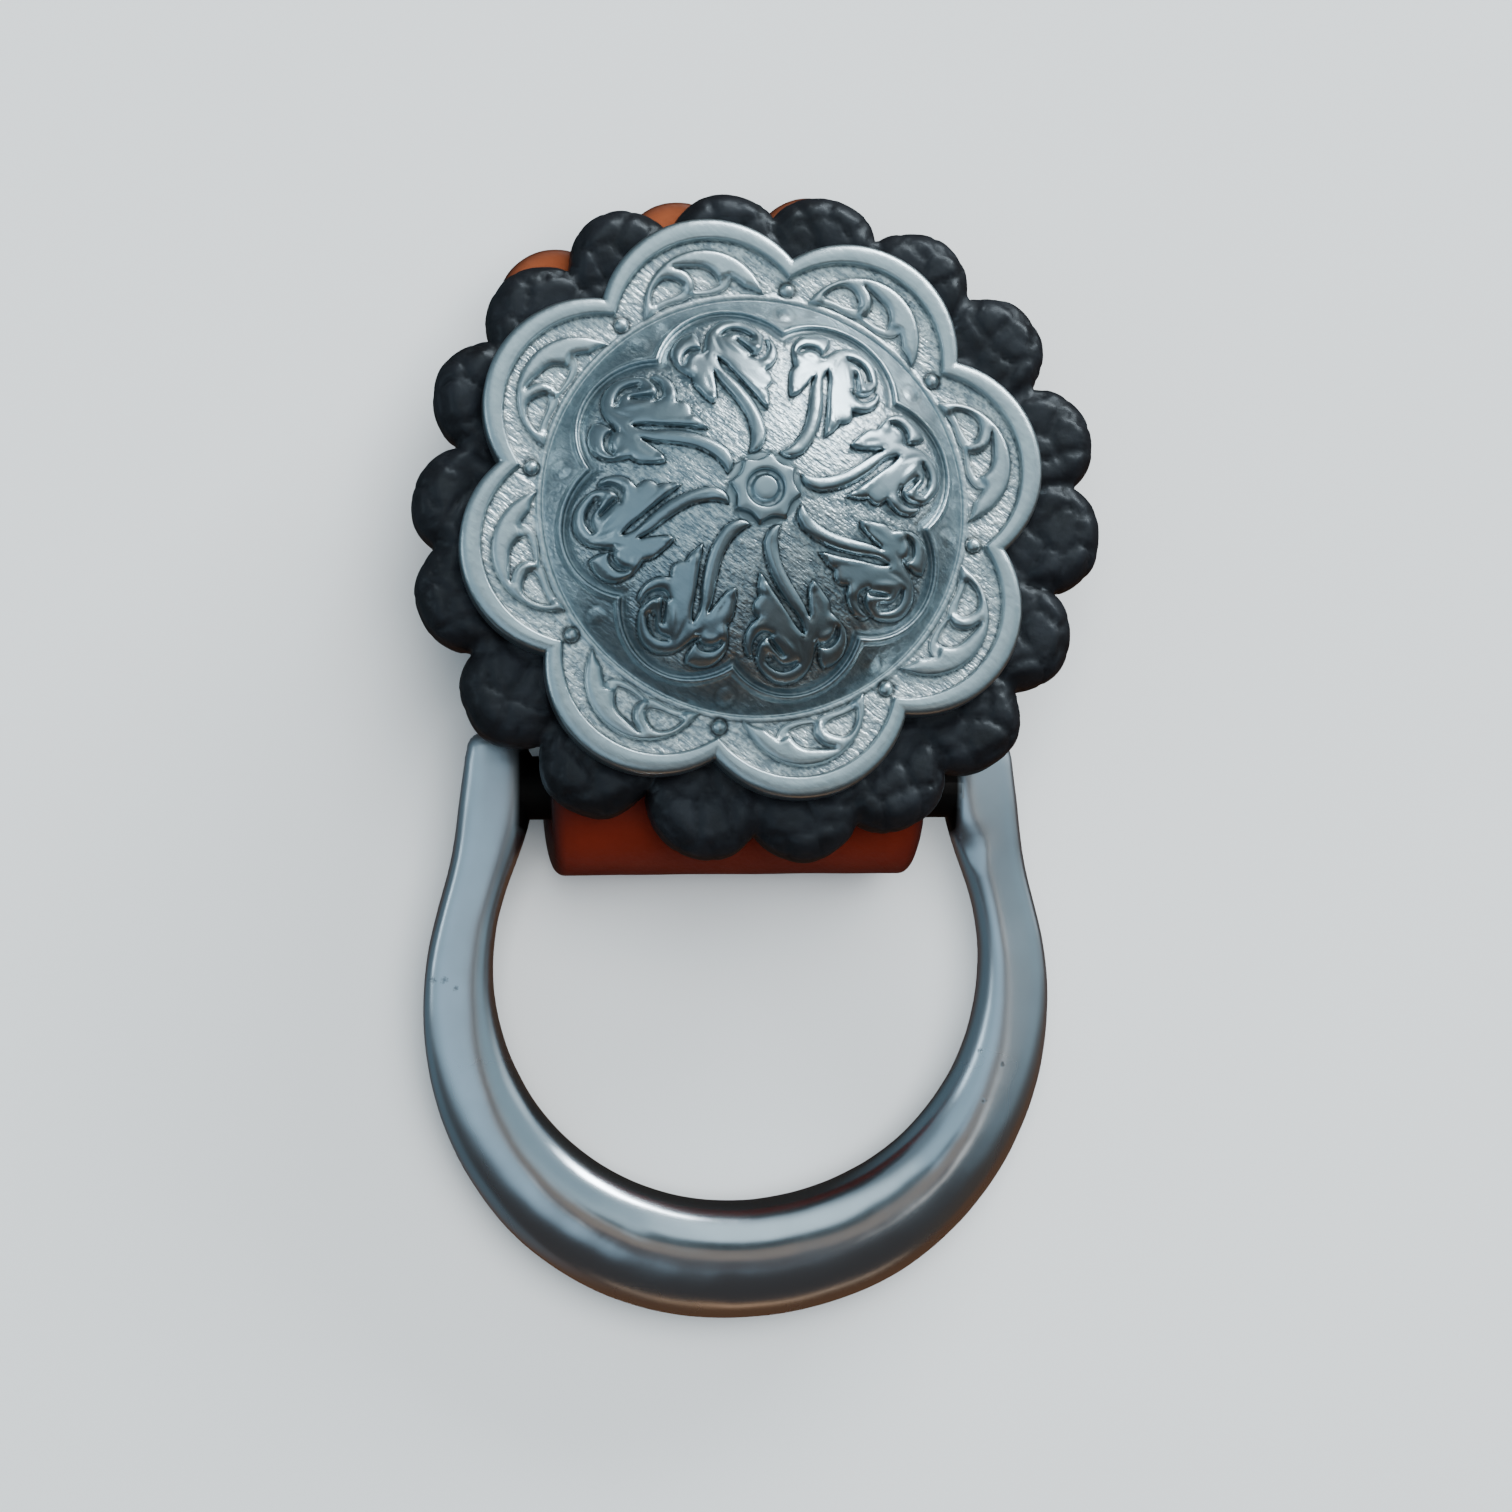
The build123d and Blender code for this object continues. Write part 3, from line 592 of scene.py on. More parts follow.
def blend_colours(tree, share, one, two):
    """Two colours mixed by a share."""
    one = one if isinstance(one, bpy.types.NodeSocket) else (*one, 1)
    two = two if isinstance(two, bpy.types.NodeSocket) else (*two, 1)
    return node(tree, "ShaderNodeMix", (0, share), (6, one), (7, two), data_type="RGBA").outputs[2]


def sums(tree, one, two, operation="ADD"):
    """Two numbers joined by an operation."""
    return node(tree, "ShaderNodeMath", (0, one), (1, two), operation=operation).outputs[0]


def bump(tree, shader, height, distance, strength=1.0, under=None):
    """Fine relief in the finish, over another where there is one."""
    made = node(tree, "ShaderNodeBump", ("Height", height), ("Distance", distance), ("Strength", strength))
    if under is not None:
        tree.links.new(under, made.inputs["Normal"])
    tree.links.new(made.outputs[0], shader.inputs["Normal"])
    return made.outputs[0]


def concho_finish():
    """Plated casting: satin raised work, streaked bright ground, the dome painted darker as shade, and
    painted shade in its corners and crevices.
    """
    finish, tree, shader = new_finish("concho casting", (0.55, 0.60, 0.64), 1.0, 0.25)
    place = object_place(tree)
    recess_shade, grain, domed = mark(tree, "recess_shade"), mark(tree, "grain"), mark(tree, "domed")
    streaks = speckle(tree, object_place(tree, (3900, 1050, 1900), (0, 0, radians(-52))), 1.0, 2.0, 0.6)
    sparkle = speckle(tree, place, 3600, 2.0, 0.6)
    clouds = speckle(tree, place, 260, 3.0)
    cloudy = spread(tree, clouds, 0.35, 0.7, 0.0, 0.6)
    smooth = blend_colours(tree, cloudy, (0.52, 0.61, 0.64), (0.42, 0.49, 0.53))
    rough = sums(tree, streaks, sums(tree, sparkle, 0.45, "MULTIPLY"))
    bright = spread(tree, rough, 0.62, 0.84, 0.0, 1.0)
    stroked = blend_colours(tree, bright, (0.43, 0.50, 0.54), (0.93, 1.0, 1.0))
    colour = blend_colours(tree, grain, smooth, stroked)
    # Painted shade: the dome is darkened all over, standing in for the darker surroundings its curve
    # reflects
    darker = node(tree, "ShaderNodeMix", (0, domed), (6, colour), (7, (0.74, 0.77, 0.79, 1)),
                  data_type="RGBA", blend_type="MULTIPLY").outputs[2]
    # Painted shade: crevices, pockets, walls and corners darkened nearly to black, and made duller
    colour = blend_colours(tree, recess_shade, darker, (0.022, 0.024, 0.026))
    tree.links.new(colour, shader.inputs["Base Color"])
    dull = sums(tree, spread(tree, clouds, 0.3, 0.7, 0.31, 0.40), sums(tree, grain, 0.04, "MULTIPLY"))
    dull = sums(tree, dull, sums(tree, recess_shade, 0.20, "MULTIPLY"))
    tree.links.new(dull, shader.inputs["Roughness"])
    first = bump(tree, shader, sums(tree, rough, grain, "MULTIPLY"), 0.00015, 0.9)
    bump(tree, shader, speckle(tree, place, 900, 3.0), 0.00002, 0.35, first)
    return finish


def ring_finish():
    """Satin plated casting with soft waves and a few pits; the hidden bar is painted near black as shade."""
    finish, tree, shader = new_finish("ring casting", (0.60, 0.65, 0.70), 1.0, 0.28)
    place = object_place(tree)
    clouds = speckle(tree, place, 120, 4.0)
    ragged = sums(tree, sums(tree, speckle(tree, place, 6500, 2.0), 0.5, "SUBTRACT"), 0.0006, "MULTIPLY")
    pitted = 0.0
    for across, along, wide in RING_PITS:
        away = sums(tree, away_from(tree, (across, along, 0), (1, 1, 0)), ragged)
        pit = spread(tree, away, 0.2 * wide * MM, 1.25 * wide * MM, 1.0, 0.0)
        pitted = sums(tree, pit, pitted, "MAXIMUM")
    # Painted shade: the bar and the lugs' inner sides beside it, which lie in shade under the leather,
    # darkened nearly to black and made duller
    bar_shade = sums(tree, spread(tree, away_from(tree, BAR, (0, 1, 1)), 0.0030, 0.0036, 1.0, 0.0),
                 spread(tree, away_from(tree, BAR, (1, 0, 0)), 0.0145, 0.0150, 1.0, 0.0), "MULTIPLY")
    cloudy = spread(tree, clouds, 0.4, 0.75, 0.0, 0.7)
    colour = blend_colours(tree, cloudy, (0.66, 0.72, 0.78), (0.54, 0.59, 0.64))
    colour = blend_colours(tree, sums(tree, pitted, 0.6, "MULTIPLY"), colour, (0.10, 0.11, 0.12))
    colour = blend_colours(tree, bar_shade, colour, (0.030, 0.026, 0.024))
    tree.links.new(colour, shader.inputs["Base Color"])
    along = node(tree, "ShaderNodeSeparateXYZ", (0, place)).outputs[1]
    from_middle = away_from(tree, (BAR[0], -13.4, 0), (1, 1, 0))
    satin = sums(tree, spread(tree, along, -0.032, -0.016, 0.0, 0.15),
                 spread(tree, from_middle, 0.0200, 0.0230, 0.0, 0.10))
    dull = sums(tree, spread(tree, clouds, 0.3, 0.7, 0.13, 0.20), satin)
    tree.links.new(sums(tree, dull, sums(tree, bar_shade, 0.3, "MULTIPLY")), shader.inputs["Roughness"])
    waves = bump(tree, shader, clouds, 0.00010, 0.3)
    bump(tree, shader, sums(tree, pitted, -1.0, "MULTIPLY"), 0.00002, 0.5, waves)
    return finish


def black_finish():
    """Blue-black pebbled leather: fine grain on the pebbles, matt creases with painted shade, a soft sheen.
    """
    finish, tree, shader = new_finish("black pebbled leather", (0.02, 0.024, 0.032), 0.0, 0.42)
    place = object_place(tree)
    crease_shade = mark(tree, "crease_shade")
    clouds = speckle(tree, place, 350, 4.0)
    cells = node(tree, "ShaderNodeTexVoronoi", ("Vector", place), ("Scale", 2400.0)).outputs["Distance"]
    pores = speckle(tree, place, 5200, 2.0)
    cloudy = spread(tree, clouds, 0.35, 0.7, 0.0, 1.0)
    worn = blend_colours(tree, cloudy, (0.0055, 0.0055, 0.0065), (0.0095, 0.0105, 0.0135))
    # Painted shade: the creases between the pebbles darkened
    colour = blend_colours(tree, crease_shade, worn, (0.003, 0.003, 0.004))
    tree.links.new(colour, shader.inputs["Base Color"])
    dull = sums(tree, spread(tree, clouds, 0.3, 0.7, 0.36, 0.48), sums(tree, crease_shade, 0.3, "MULTIPLY"))
    tree.links.new(dull, shader.inputs["Roughness"])
    shader.inputs["Specular IOR Level"].default_value = 0.32
    shader.inputs["Specular Tint"].default_value = (0.84, 0.93, 1.0, 1)
    first = bump(tree, shader, sums(tree, cells, -1.0, "MULTIPLY"), 0.00003, 0.5)
    second = bump(tree, shader, pores, 0.00001, 0.5, first)
    bump(tree, shader, clouds, 0.00008, 0.4, second)
    return finish


def brown_finish(name, light, deep, edge_colour, dullness):
    """Smooth vegetable-tanned leather, darker and glossier where its edges are burnished."""
    finish, tree, shader = new_finish(name, light, 0.0, dullness)
    place = object_place(tree)
    edge = mark(tree, "edge")
    clouds = speckle(tree, place, 160, 4.0)
    fibres = speckle(tree, place, 2200, 4.0, 0.65)
    pores = node(tree, "ShaderNodeTexVoronoi", ("Vector", place), ("Scale", 2600.0)).outputs["Distance"]
    colour = blend_colours(tree, spread(tree, clouds, 0.3, 0.7, 0.0, 1.0), light, deep)
    colour = blend_colours(tree, spread(tree, fibres, 0.5, 0.8, 0.0, 0.35), colour, deep)
    colour = blend_colours(tree, edge, colour, edge_colour)
    tree.links.new(colour, shader.inputs["Base Color"])
    dull = sums(tree, spread(tree, clouds, 0.3, 0.7, dullness - 0.06, dullness + 0.08),
                sums(tree, edge, -0.08, "MULTIPLY"))
    tree.links.new(dull, shader.inputs["Roughness"])
    shader.inputs["Specular IOR Level"].default_value = 0.14
    first = bump(tree, shader, pores, 0.00003, 0.5)
    bump(tree, shader, fibres, 0.00004, 0.5, first)
    return finish


def screw_finish():
    """Plated steel with turning marks round the screw's axis."""
    finish, tree, shader = new_finish("screw steel", (0.55, 0.56, 0.57), 1.0, 0.32)
    place = node(tree, "ShaderNodeTexCoord").outputs["Object"]
    moved = node(tree, "ShaderNodeMapping", ("Vector", place), ("Location", tuple(-SEAT * MM)),
                 vector_type="POINT").outputs[0]
    rings = node(tree, "ShaderNodeTexWave", ("Vector", moved), ("Scale", 900.0), ("Distortion", 0.6),
                 wave_type="RINGS", rings_direction="Z").outputs["Fac"]
    clouds = speckle(tree, place, 500, 4.0)
    tree.links.new(spread(tree, clouds, 0.3, 0.7, 0.24, 0.42), shader.inputs["Roughness"])
    bump(tree, shader, sums(tree, rings, clouds), 0.00002, 0.5)
    return finish


def floor_finish():
    """Plain pale matt floor with the faintest unevenness."""
    finish, tree, shader = new_finish("pale floor", (0.84, 0.84, 0.84), 0.0, 0.75)
    clouds = speckle(tree, object_place(tree), 30, 3.0)
    colour = blend_colours(tree, clouds, (0.83, 0.83, 0.83), (0.86, 0.86, 0.86))
    tree.links.new(colour, shader.inputs["Base Color"])
    return finish


def card_finish(name, tone):
    """A dull card above the part that gives its own faint tone to the metal."""
    finish, tree, shader = new_finish(name, (0.01, 0.01, 0.01), 0.0, 0.9)
    fibres = speckle(tree, object_place(tree), 60, 3.0)
    tree.links.new(spread(tree, fibres, 0.3, 0.7, 0.85, 0.98), shader.inputs["Roughness"])
    shader.inputs["Emission Color"].default_value = (*tone, 1)
    shader.inputs["Emission Strength"].default_value = 1.0
    return finish


# Concho

def arc_of_lobes(top, cusp):
    """Centre and radius of the arc that bounds one lobe of a scalloped line."""
    middle = (top**2 - cusp**2) / (2 * (top - cusp * cos(HALF_PITCH)))
    return middle, top - middle


BORDER_ARC = arc_of_lobes(CONCHO["radius"], CONCHO["cusp"])
FIELD_ARC = arc_of_lobes(CONCHO["radius"] - CONCHO["border_width"], CONCHO["cusp"] - CONCHO["corner_width"])
SCALLOP_ARC = (7.92, 4.78)


def arc_row(arc, inset, step):
    """One row along a lobe's arc moved inwards, its ends exactly on the sector's sides."""
    middle, radius = arc
    radius -= inset
    reach = middle * cos(HALF_PITCH) + sqrt(radius**2 - (middle * sin(HALF_PITCH))**2)
    end = atan2(reach * sin(HALF_PITCH), reach * cos(HALF_PITCH) - middle)
    turns = np.linspace(-end, end, max(3, ceil(2 * end * radius / step) + 1))
    return np.column_stack([radius * np.sin(turns), middle + radius * np.cos(turns)]), reach


def shoulder(depth, wall, width):
    """A form's side: part of its height in a steep wall, the rest in a rounded shoulder."""
    share = np.clip(depth / width, 0.0, 1.0)
    rounded = np.sqrt(np.clip(1.0 - (1.0 - share)**2, 0.0, 1.0))
    return np.where(depth > 0, wall * ease(depth / 0.09) + (1.0 - wall) * rounded, 0.0)


def border_height(inset, in_field):
    """The border band's height, from how far a spot is inside the band's outer and inner lines."""
    top = CONCHO["plate"] + CONCHO["border_rise"]
    bend, width = CONCHO["border_round"], 0.75
    share = np.clip(1.0 - np.clip(inset, 0.0, None) / width, 0.0, 1.0)
    outside = top - bend * (1.0 - np.sqrt(np.clip(1.0 - share**2.3, 0.0, 1.0)))
    slope = 0.04 * ease((in_field + 0.50) / 0.42)
    wall = (top - 0.04 - CONCHO["plate"]) * ease((in_field + 0.10) / 0.17)
    return outside - slope - wall


def sector_side(spots):
    """How far each spot is inside the sector's two sides."""
    return spots[:, 1] * sin(HALF_PITCH) - np.abs(spots[:, 0]) * cos(HALF_PITCH)


LEAF_LINE = closed_outline(SCROLL_LEAF, CONCHO["dome"] / 100, 0.0, 0.13)
CRESCENT_ARC = [(100.0 * sin(radians(a)), 100.0 * cos(radians(a))) for a in np.linspace(-88.3, 88.3, 25)]
CRESCENT_LINE = closed_outline([CRESCENT_ARC] + CRESCENT_EDGE, CONCHO["leaf"] / 100,
                               CONCHO["leaf_out"], 0.14)
WINDOW_LINES = [closed_outline(window, CONCHO["leaf"] / 100, CONCHO["leaf_out"], 0.12)
                for window in CRESCENT_WINDOWS]
# The corner beads and the half-beads of the dome: how far out and how large
BEAD_OUT, BEAD = 14.36, 0.42
HALF_BEAD_OUT, HALF_BEAD = 12.5, 0.66
# Button and collar from the middle outwards
BUTTON, GROOVE, COLLAR_VALLEY, COLLAR_POINT = 0.82, 1.14, 1.88, 0.42
LOW_BAND = -0.10


def side_distance(spots, out):
    """How far each spot is from the nearer of the two points on the sector's sides at a radius."""
    return np.hypot(np.abs(spots[:, 0]) - out * sin(HALF_PITCH), spots[:, 1] - out * cos(HALF_PITCH))


def collar_edge(turn):
    """The collar's outer edge, with its points on the sector's sides."""
    return COLLAR_VALLEY + COLLAR_POINT * (turn / HALF_PITCH)**2


def mound(away, reach):
    """1 in the middle of a round bump and 0 from its reach on."""
    return np.clip(1 - (away / reach)**2, 0, 1)


def tent(away, reach):
    """1 in the middle of a line and 0 from its reach on, falling evenly."""
    return np.clip(1 - np.abs(away) / reach, 0, 1)


def dome_work(spots, radius):
    """Height of the work on the dome above its ball, with how much painted shade and how much grain each
    spot gets.
    """
    leaf = depth_inside(spots, LEAF_LINE)
    cuts = np.max([cut_reach(spots, rows) for rows in SCROLL_CUTS], axis=0)
    body = np.minimum(leaf, -cuts)
    on_leaf = ease(body / 0.12)
    rise = CONCHO["relief"] * 0.88 * shoulder(body, 0.52, 0.50)
    ribs = np.sum([stroke(spots, rows) for rows in SCROLL_RIBS], axis=0)
    furrows = np.sum([stroke(spots, rows) for rows in SCROLL_FURROWS], axis=0)
    tips = np.sum([high * np.clip(1 - ((spots[:, 0] - x)**2 + (spots[:, 1] - y)**2) / size**2, 0, 1)**2
                   for x, y, size, high in SCROLL_TIPS], axis=0)
    rise = rise + on_leaf * (ribs + tips - furrows)
    pocket = ease(leaf / 0.18) * (body <= 0)
    ground_dip = -0.10 * ease(1 + body / 0.16) * (body <= 0) * ease((radius - 2.2) / 0.5)
    rise = np.where(body > 0, rise, ground_dip + 0.12 * pocket)
    # Scalloped line, with its furrow inside, and the low band outside with its half-beads
    from_line = np.hypot(spots[:, 0], spots[:, 1] - SCALLOP_ARC[0]) - SCALLOP_ARC[1]
    from_line = np.where(spots[:, 1] > SCALLOP_ARC[0], from_line, -3.0)
    outer_band = ease((from_line + 0.05) / 0.2)
    rise = rise * (1 - outer_band) + LOW_BAND * outer_band
    rise = np.maximum(rise, 0.30 * np.sqrt(mound(from_line, 0.2)) - 0.02)
    furrow = mound(from_line + 0.40, 0.2)
    rise = rise - 0.16 * furrow * (1 - on_leaf)
    half_bead = side_distance(spots, HALF_BEAD_OUT)
    rise = np.maximum(rise, LOW_BAND + 0.17 * mound(half_bead, HALF_BEAD)**0.7)
    # Collar and button
    edge = collar_edge(np.abs(np.arctan2(spots[:, 0], spots[:, 1])))
    collar = 0.52 * shoulder(np.minimum(edge - radius, radius - GROOVE), 0.6, 0.3)
    button = 0.12 + 0.34 * shoulder(BUTTON - radius, 0.6, 0.4)
    middle = np.where(radius < BUTTON, button, np.where(radius < GROOVE, 0.08, collar))
    rise = np.where(radius < edge, middle, rise)
    # What the finish needs: painted shade beside the leaf's walls, in its pockets and furrows, round the
    # collar and button and by the half-beads, and the grain
    below = ease(1 + body / 0.17) * (body <= 0.02) * (leaf < 0.05)
    recess_shade = 0.75 * below * (radius > 2.3) + 0.5 * pocket + 0.4 * furrow * (1 - on_leaf)
    recess_shade = recess_shade + 0.45 * mound(radius - edge - 0.08, 0.14) * (radius < 2.6) * (1 - on_leaf)
    recess_shade = recess_shade + 0.45 * mound(radius - 0.98, 0.18)
    recess_shade = recess_shade * (1 - outer_band) + 0.35 * outer_band * tent(half_bead - HALF_BEAD - 0.05, 0.18)
    ground = 0.30 + 0.70 * ease((-0.55 - from_line) / 0.5)
    return rise, recess_shade, np.where(body > 0, 0.05, ground) * ease((radius - 2.3) / 0.2)


def lobe_work(spots, radius):
    """Height of a border lobe above the concho's back, with how much painted shade and how much grain each
    spot gets.
    """
    inset = BORDER_ARC[1] - np.hypot(spots[:, 0], spots[:, 1] - BORDER_ARC[0])
    in_field = FIELD_ARC[1] - np.hypot(spots[:, 0], spots[:, 1] - FIELD_ARC[0])
    windows = np.max([depth_inside(spots, line) for line in WINDOW_LINES], axis=0)
    crescent = np.minimum(depth_inside(spots, CRESCENT_LINE), -windows)
    ribs = np.sum([stroke(spots, rows) for rows in CRESCENT_RIBS], axis=0)
    leaf_height = CONCHO["leaf_rise"] * shoulder(crescent, 0.28, 0.5)
    leaf_height += ribs * ease(crescent / 0.1)
    # The rim that closes the windows at the foot of the crescent is low
    across = spots[:, 0]
    rim_line = np.where(across < -0.8, 13.95 + 0.364 * (across + 3.3), 14.15 + 0.25 * (across + 0.5))
    in_rim = ease((rim_line + 0.42 - spots[:, 1]) / 0.3)
    in_rim = in_rim * ease((across + 3.4) / 0.4) * ease((2.3 - across) / 0.5)
    leaf_height *= 1 - 0.6 * in_rim
    # Corner beads in their dents, and the foot of the dome
    bead = side_distance(spots, BEAD_OUT)
    beads = 0.26 * mound(bead, BEAD)**0.7 - 0.08 * mound(bead - 0.55, 0.12)
    foot = 0.17 * np.sqrt(mound(radius - CONCHO["dome"] - 0.20, 0.24))
    raised = np.maximum(np.where(crescent > 0, leaf_height, 0.0), foot)
    # What the finish needs: painted shade along the crescent's edge, the field's wall, the bead dents and
    # the windows, and the grain
    recess_shade = np.max([0.55 * tent(crescent + 0.03, 0.17), 0.5 * mound(in_field - 0.06, 0.12),
                     0.85 * mound(bead - 0.53, 0.14), 0.85 * tent(windows - 0.04, 0.14) * (1 - in_rim)],
                    axis=0)
    ground = 0.35 + 0.65 * ease((radius - CONCHO["dome"] - 0.35) / 0.2)
    grain = np.where(crescent > 0.05, 0.12, np.where(in_field > 0.02, ground, 0.10)) * (bead > BEAD)
    return border_height(inset, in_field) + raised + beads, recess_shade, grain


def concho_height(spots):
    """Height of the concho's face above its back, with how much painted shade and grain each spot gets, and
    how far it lies on the dome.
    """
    radius = np.hypot(*spots.T)
    rise, *dome_marks = dome_work(spots, radius)
    field, *field_marks = lobe_work(spots, radius)
    dome = BALL_CENTRE + np.sqrt((BALL + rise)**2 - np.minimum(radius, CONCHO["dome"] + 0.3)**2)
    on_dome = radius < CONCHO["dome"]
    height = np.where(on_dome, np.maximum(dome, CONCHO["plate"]), field)
    recess_shade, grain = [np.clip(np.where(on_dome, *pair), 0, 1) for pair in zip(dome_marks, field_marks)]
    return height, recess_shade, grain, ease((CONCHO["dome"] - radius) / 0.1)


def on_circle(radius, turns):
    """Places at a radius, each turned from the middle of the sector."""
    return np.column_stack([radius * np.sin(turns), radius * np.cos(turns)])


def sector_rows():
    """Rows of points that follow the sector's lines, and where they meet its sides."""
    rows, reaches = [], []
    for arc, step, insets in (
            (BORDER_ARC, 0.17, (0.02, 0.06, 0.13, 0.22, 0.33, 0.45, 0.62)),
            (FIELD_ARC, 0.16, (-0.55, -0.38, -0.22, -0.12, -0.07, -0.02, 0.03, 0.08, 0.14, 0.24)),
            (SCALLOP_ARC, 0.16, (-0.30, -0.20, -0.16, -0.08, 0.0, 0.08, 0.16, 0.20, 0.28, 0.40, 0.52,
                                 0.60))):
        for inset in insets:
            line, reach = arc_row(arc, inset, step)
            rows.append(line[1:-1])
            reaches.append(reach)
    circles = [0.2, 0.4, 0.56, 0.66, 0.71, 0.74, 0.80, 1.12, 1.18, 1.22, 1.30, 1.45]
    circles += [CONCHO["dome"] + beyond for beyond in (-0.12, -0.001, 0.02, 0.10, 0.2, 0.3, 0.38, 0.44)]
    for radius in circles:
        turns = np.linspace(-HALF_PITCH, HALF_PITCH, max(4, ceil(2 * HALF_PITCH * radius / 0.16) + 1))
        rows.append(on_circle(radius, turns)[1:-1])
        reaches.append(radius)
    for inset in (-0.10, -0.02, 0.04, 0.10, 0.20):
        turns = np.linspace(-HALF_PITCH, HALF_PITCH, 13)
        edge = collar_edge(turns) - inset
        rows.append(on_circle(edge, turns)[1:-1])
        reaches.append(edge[0])
    turns = np.linspace(0, 2 * pi, 25)[:-1]
    for out, size in ((BEAD_OUT, BEAD), (HALF_BEAD_OUT, HALF_BEAD)):
        for share in (0.35, 0.65, 0.85, 0.97, 1.0, 1.1, 1.2, 1.35):
            for side in (-1, 1):
                rows.append(np.column_stack([side * out * sin(HALF_PITCH) + share * size * np.cos(turns),
                                             out * cos(HALF_PITCH) + share * size * np.sin(turns)]))
            reaches += [out - share * size, out + share * size]
        reaches.append(out)
    return rows, reaches


def sector_stops(reaches, rim_reach):
    """Places on the sector's two sides, the same on both, no nearer to each other than a little."""
    stops = [0.0]
    for reach in sorted(reaches):
        if reach - stops[-1] > 0.0015 and reach < rim_reach - 0.004:
            stops.append(reach)
    for reach in np.arange(0.15, rim_reach, 0.16):
        if min(abs(reach - stop) for stop in stops) > 0.08:
            stops.append(reach)
    return sorted(stops)


def in_sector(line, room):
    """Which places of a line are in the sector, with room to its sides."""
    from_rim = BORDER_ARC[1] - np.hypot(line[:, 0], line[:, 1] - BORDER_ARC[0])
    return (sector_side(line) > room) & ((from_rim > 0.004) | (line[:, 1] < BORDER_ARC[0]))


def sector_face(rim, rim_reach):
    """The sector's face as a flat drawing, finest along the lines of its relief."""
    plan = new_plan()
    rows, reaches = sector_rows()
    rights = [(stop * sin(HALF_PITCH), stop * cos(HALF_PITCH)) for stop in sector_stops(reaches, rim_reach)]
    lefts = [(-x, y) for x, y in rights[1:]]
    boundary = rights + [tuple(spot) for spot in rim[::-1]] + lefts[::-1]
    plan["spots"] = [(float(x), float(y)) for x, y in boundary]
    for line in rows:
        lay_row(plan, line, in_sector(line, 0.03), spacing=0.001)
    for offset in (-0.16, -0.06, 0.0, 0.03, 0.08, 0.16, 0.28):
        for outline in [LEAF_LINE, CRESCENT_LINE] + WINDOW_LINES:
            moved = beside(outline, offset, True)
            true = np.abs(depth_inside(moved, outline) - offset) < 0.015 + 0.15 * abs(offset)
            lay_row(plan, moved, true & in_sector(moved, 0.05), closed=True)
    for cut in SCROLL_CUTS:
        line = smooth_line(cut, 0.11)
        lay_row(plan, line[:, :2], np.ones(len(line), bool))
        for offset in (-0.03, 0.0, 0.04, 0.10, 0.20):
            for side in (-1, 1):
                moved = np.array([spot + side * (row[2] + offset) * way for spot, row, way in
                                  zip(line[:, :2], line, beside(line[:, :2], 1.0, False) - line[:, :2])])
                true = np.abs(cut_reach(moved, cut) + offset) < 0.03
                lay_row(plan, moved, true & (depth_inside(moved, LEAF_LINE) > 0.03))
    by_leaf = lambda spots: (depth_inside(spots, LEAF_LINE) > -0.1) & in_sector(spots, 0.06)
    by_crescent = lambda spots: depth_inside(spots, CRESCENT_LINE) > -0.1
    all_over = lambda spots: in_sector(spots, 0.09)
    for box, pitch, kept, room in (((-3.6, 2.2, 3.6, 12.0), 0.155, by_leaf, 0.095),
                                   ((-4.1, 13.1, 4.1, 17.2), 0.17, by_crescent, 0.1),
                                   ((-7.3, 0.2, 7.3, 19.1), 0.235, all_over, 0.13)):
        lay_grid(plan, box, pitch, kept, room)
    return fill(plan, [list(range(len(boundary)))])


def add_row(points, marks, line, height, values):
    """Adds a line's points at one height, with the same numbers for the finish on each, and counts them."""
    first = len(points)
    points.extend((float(x), float(y), float(height)) for x, y in line)
    for label, value in values.items():
        marks[label].extend([value] * len(line))
    return list(range(first, first + len(line)))


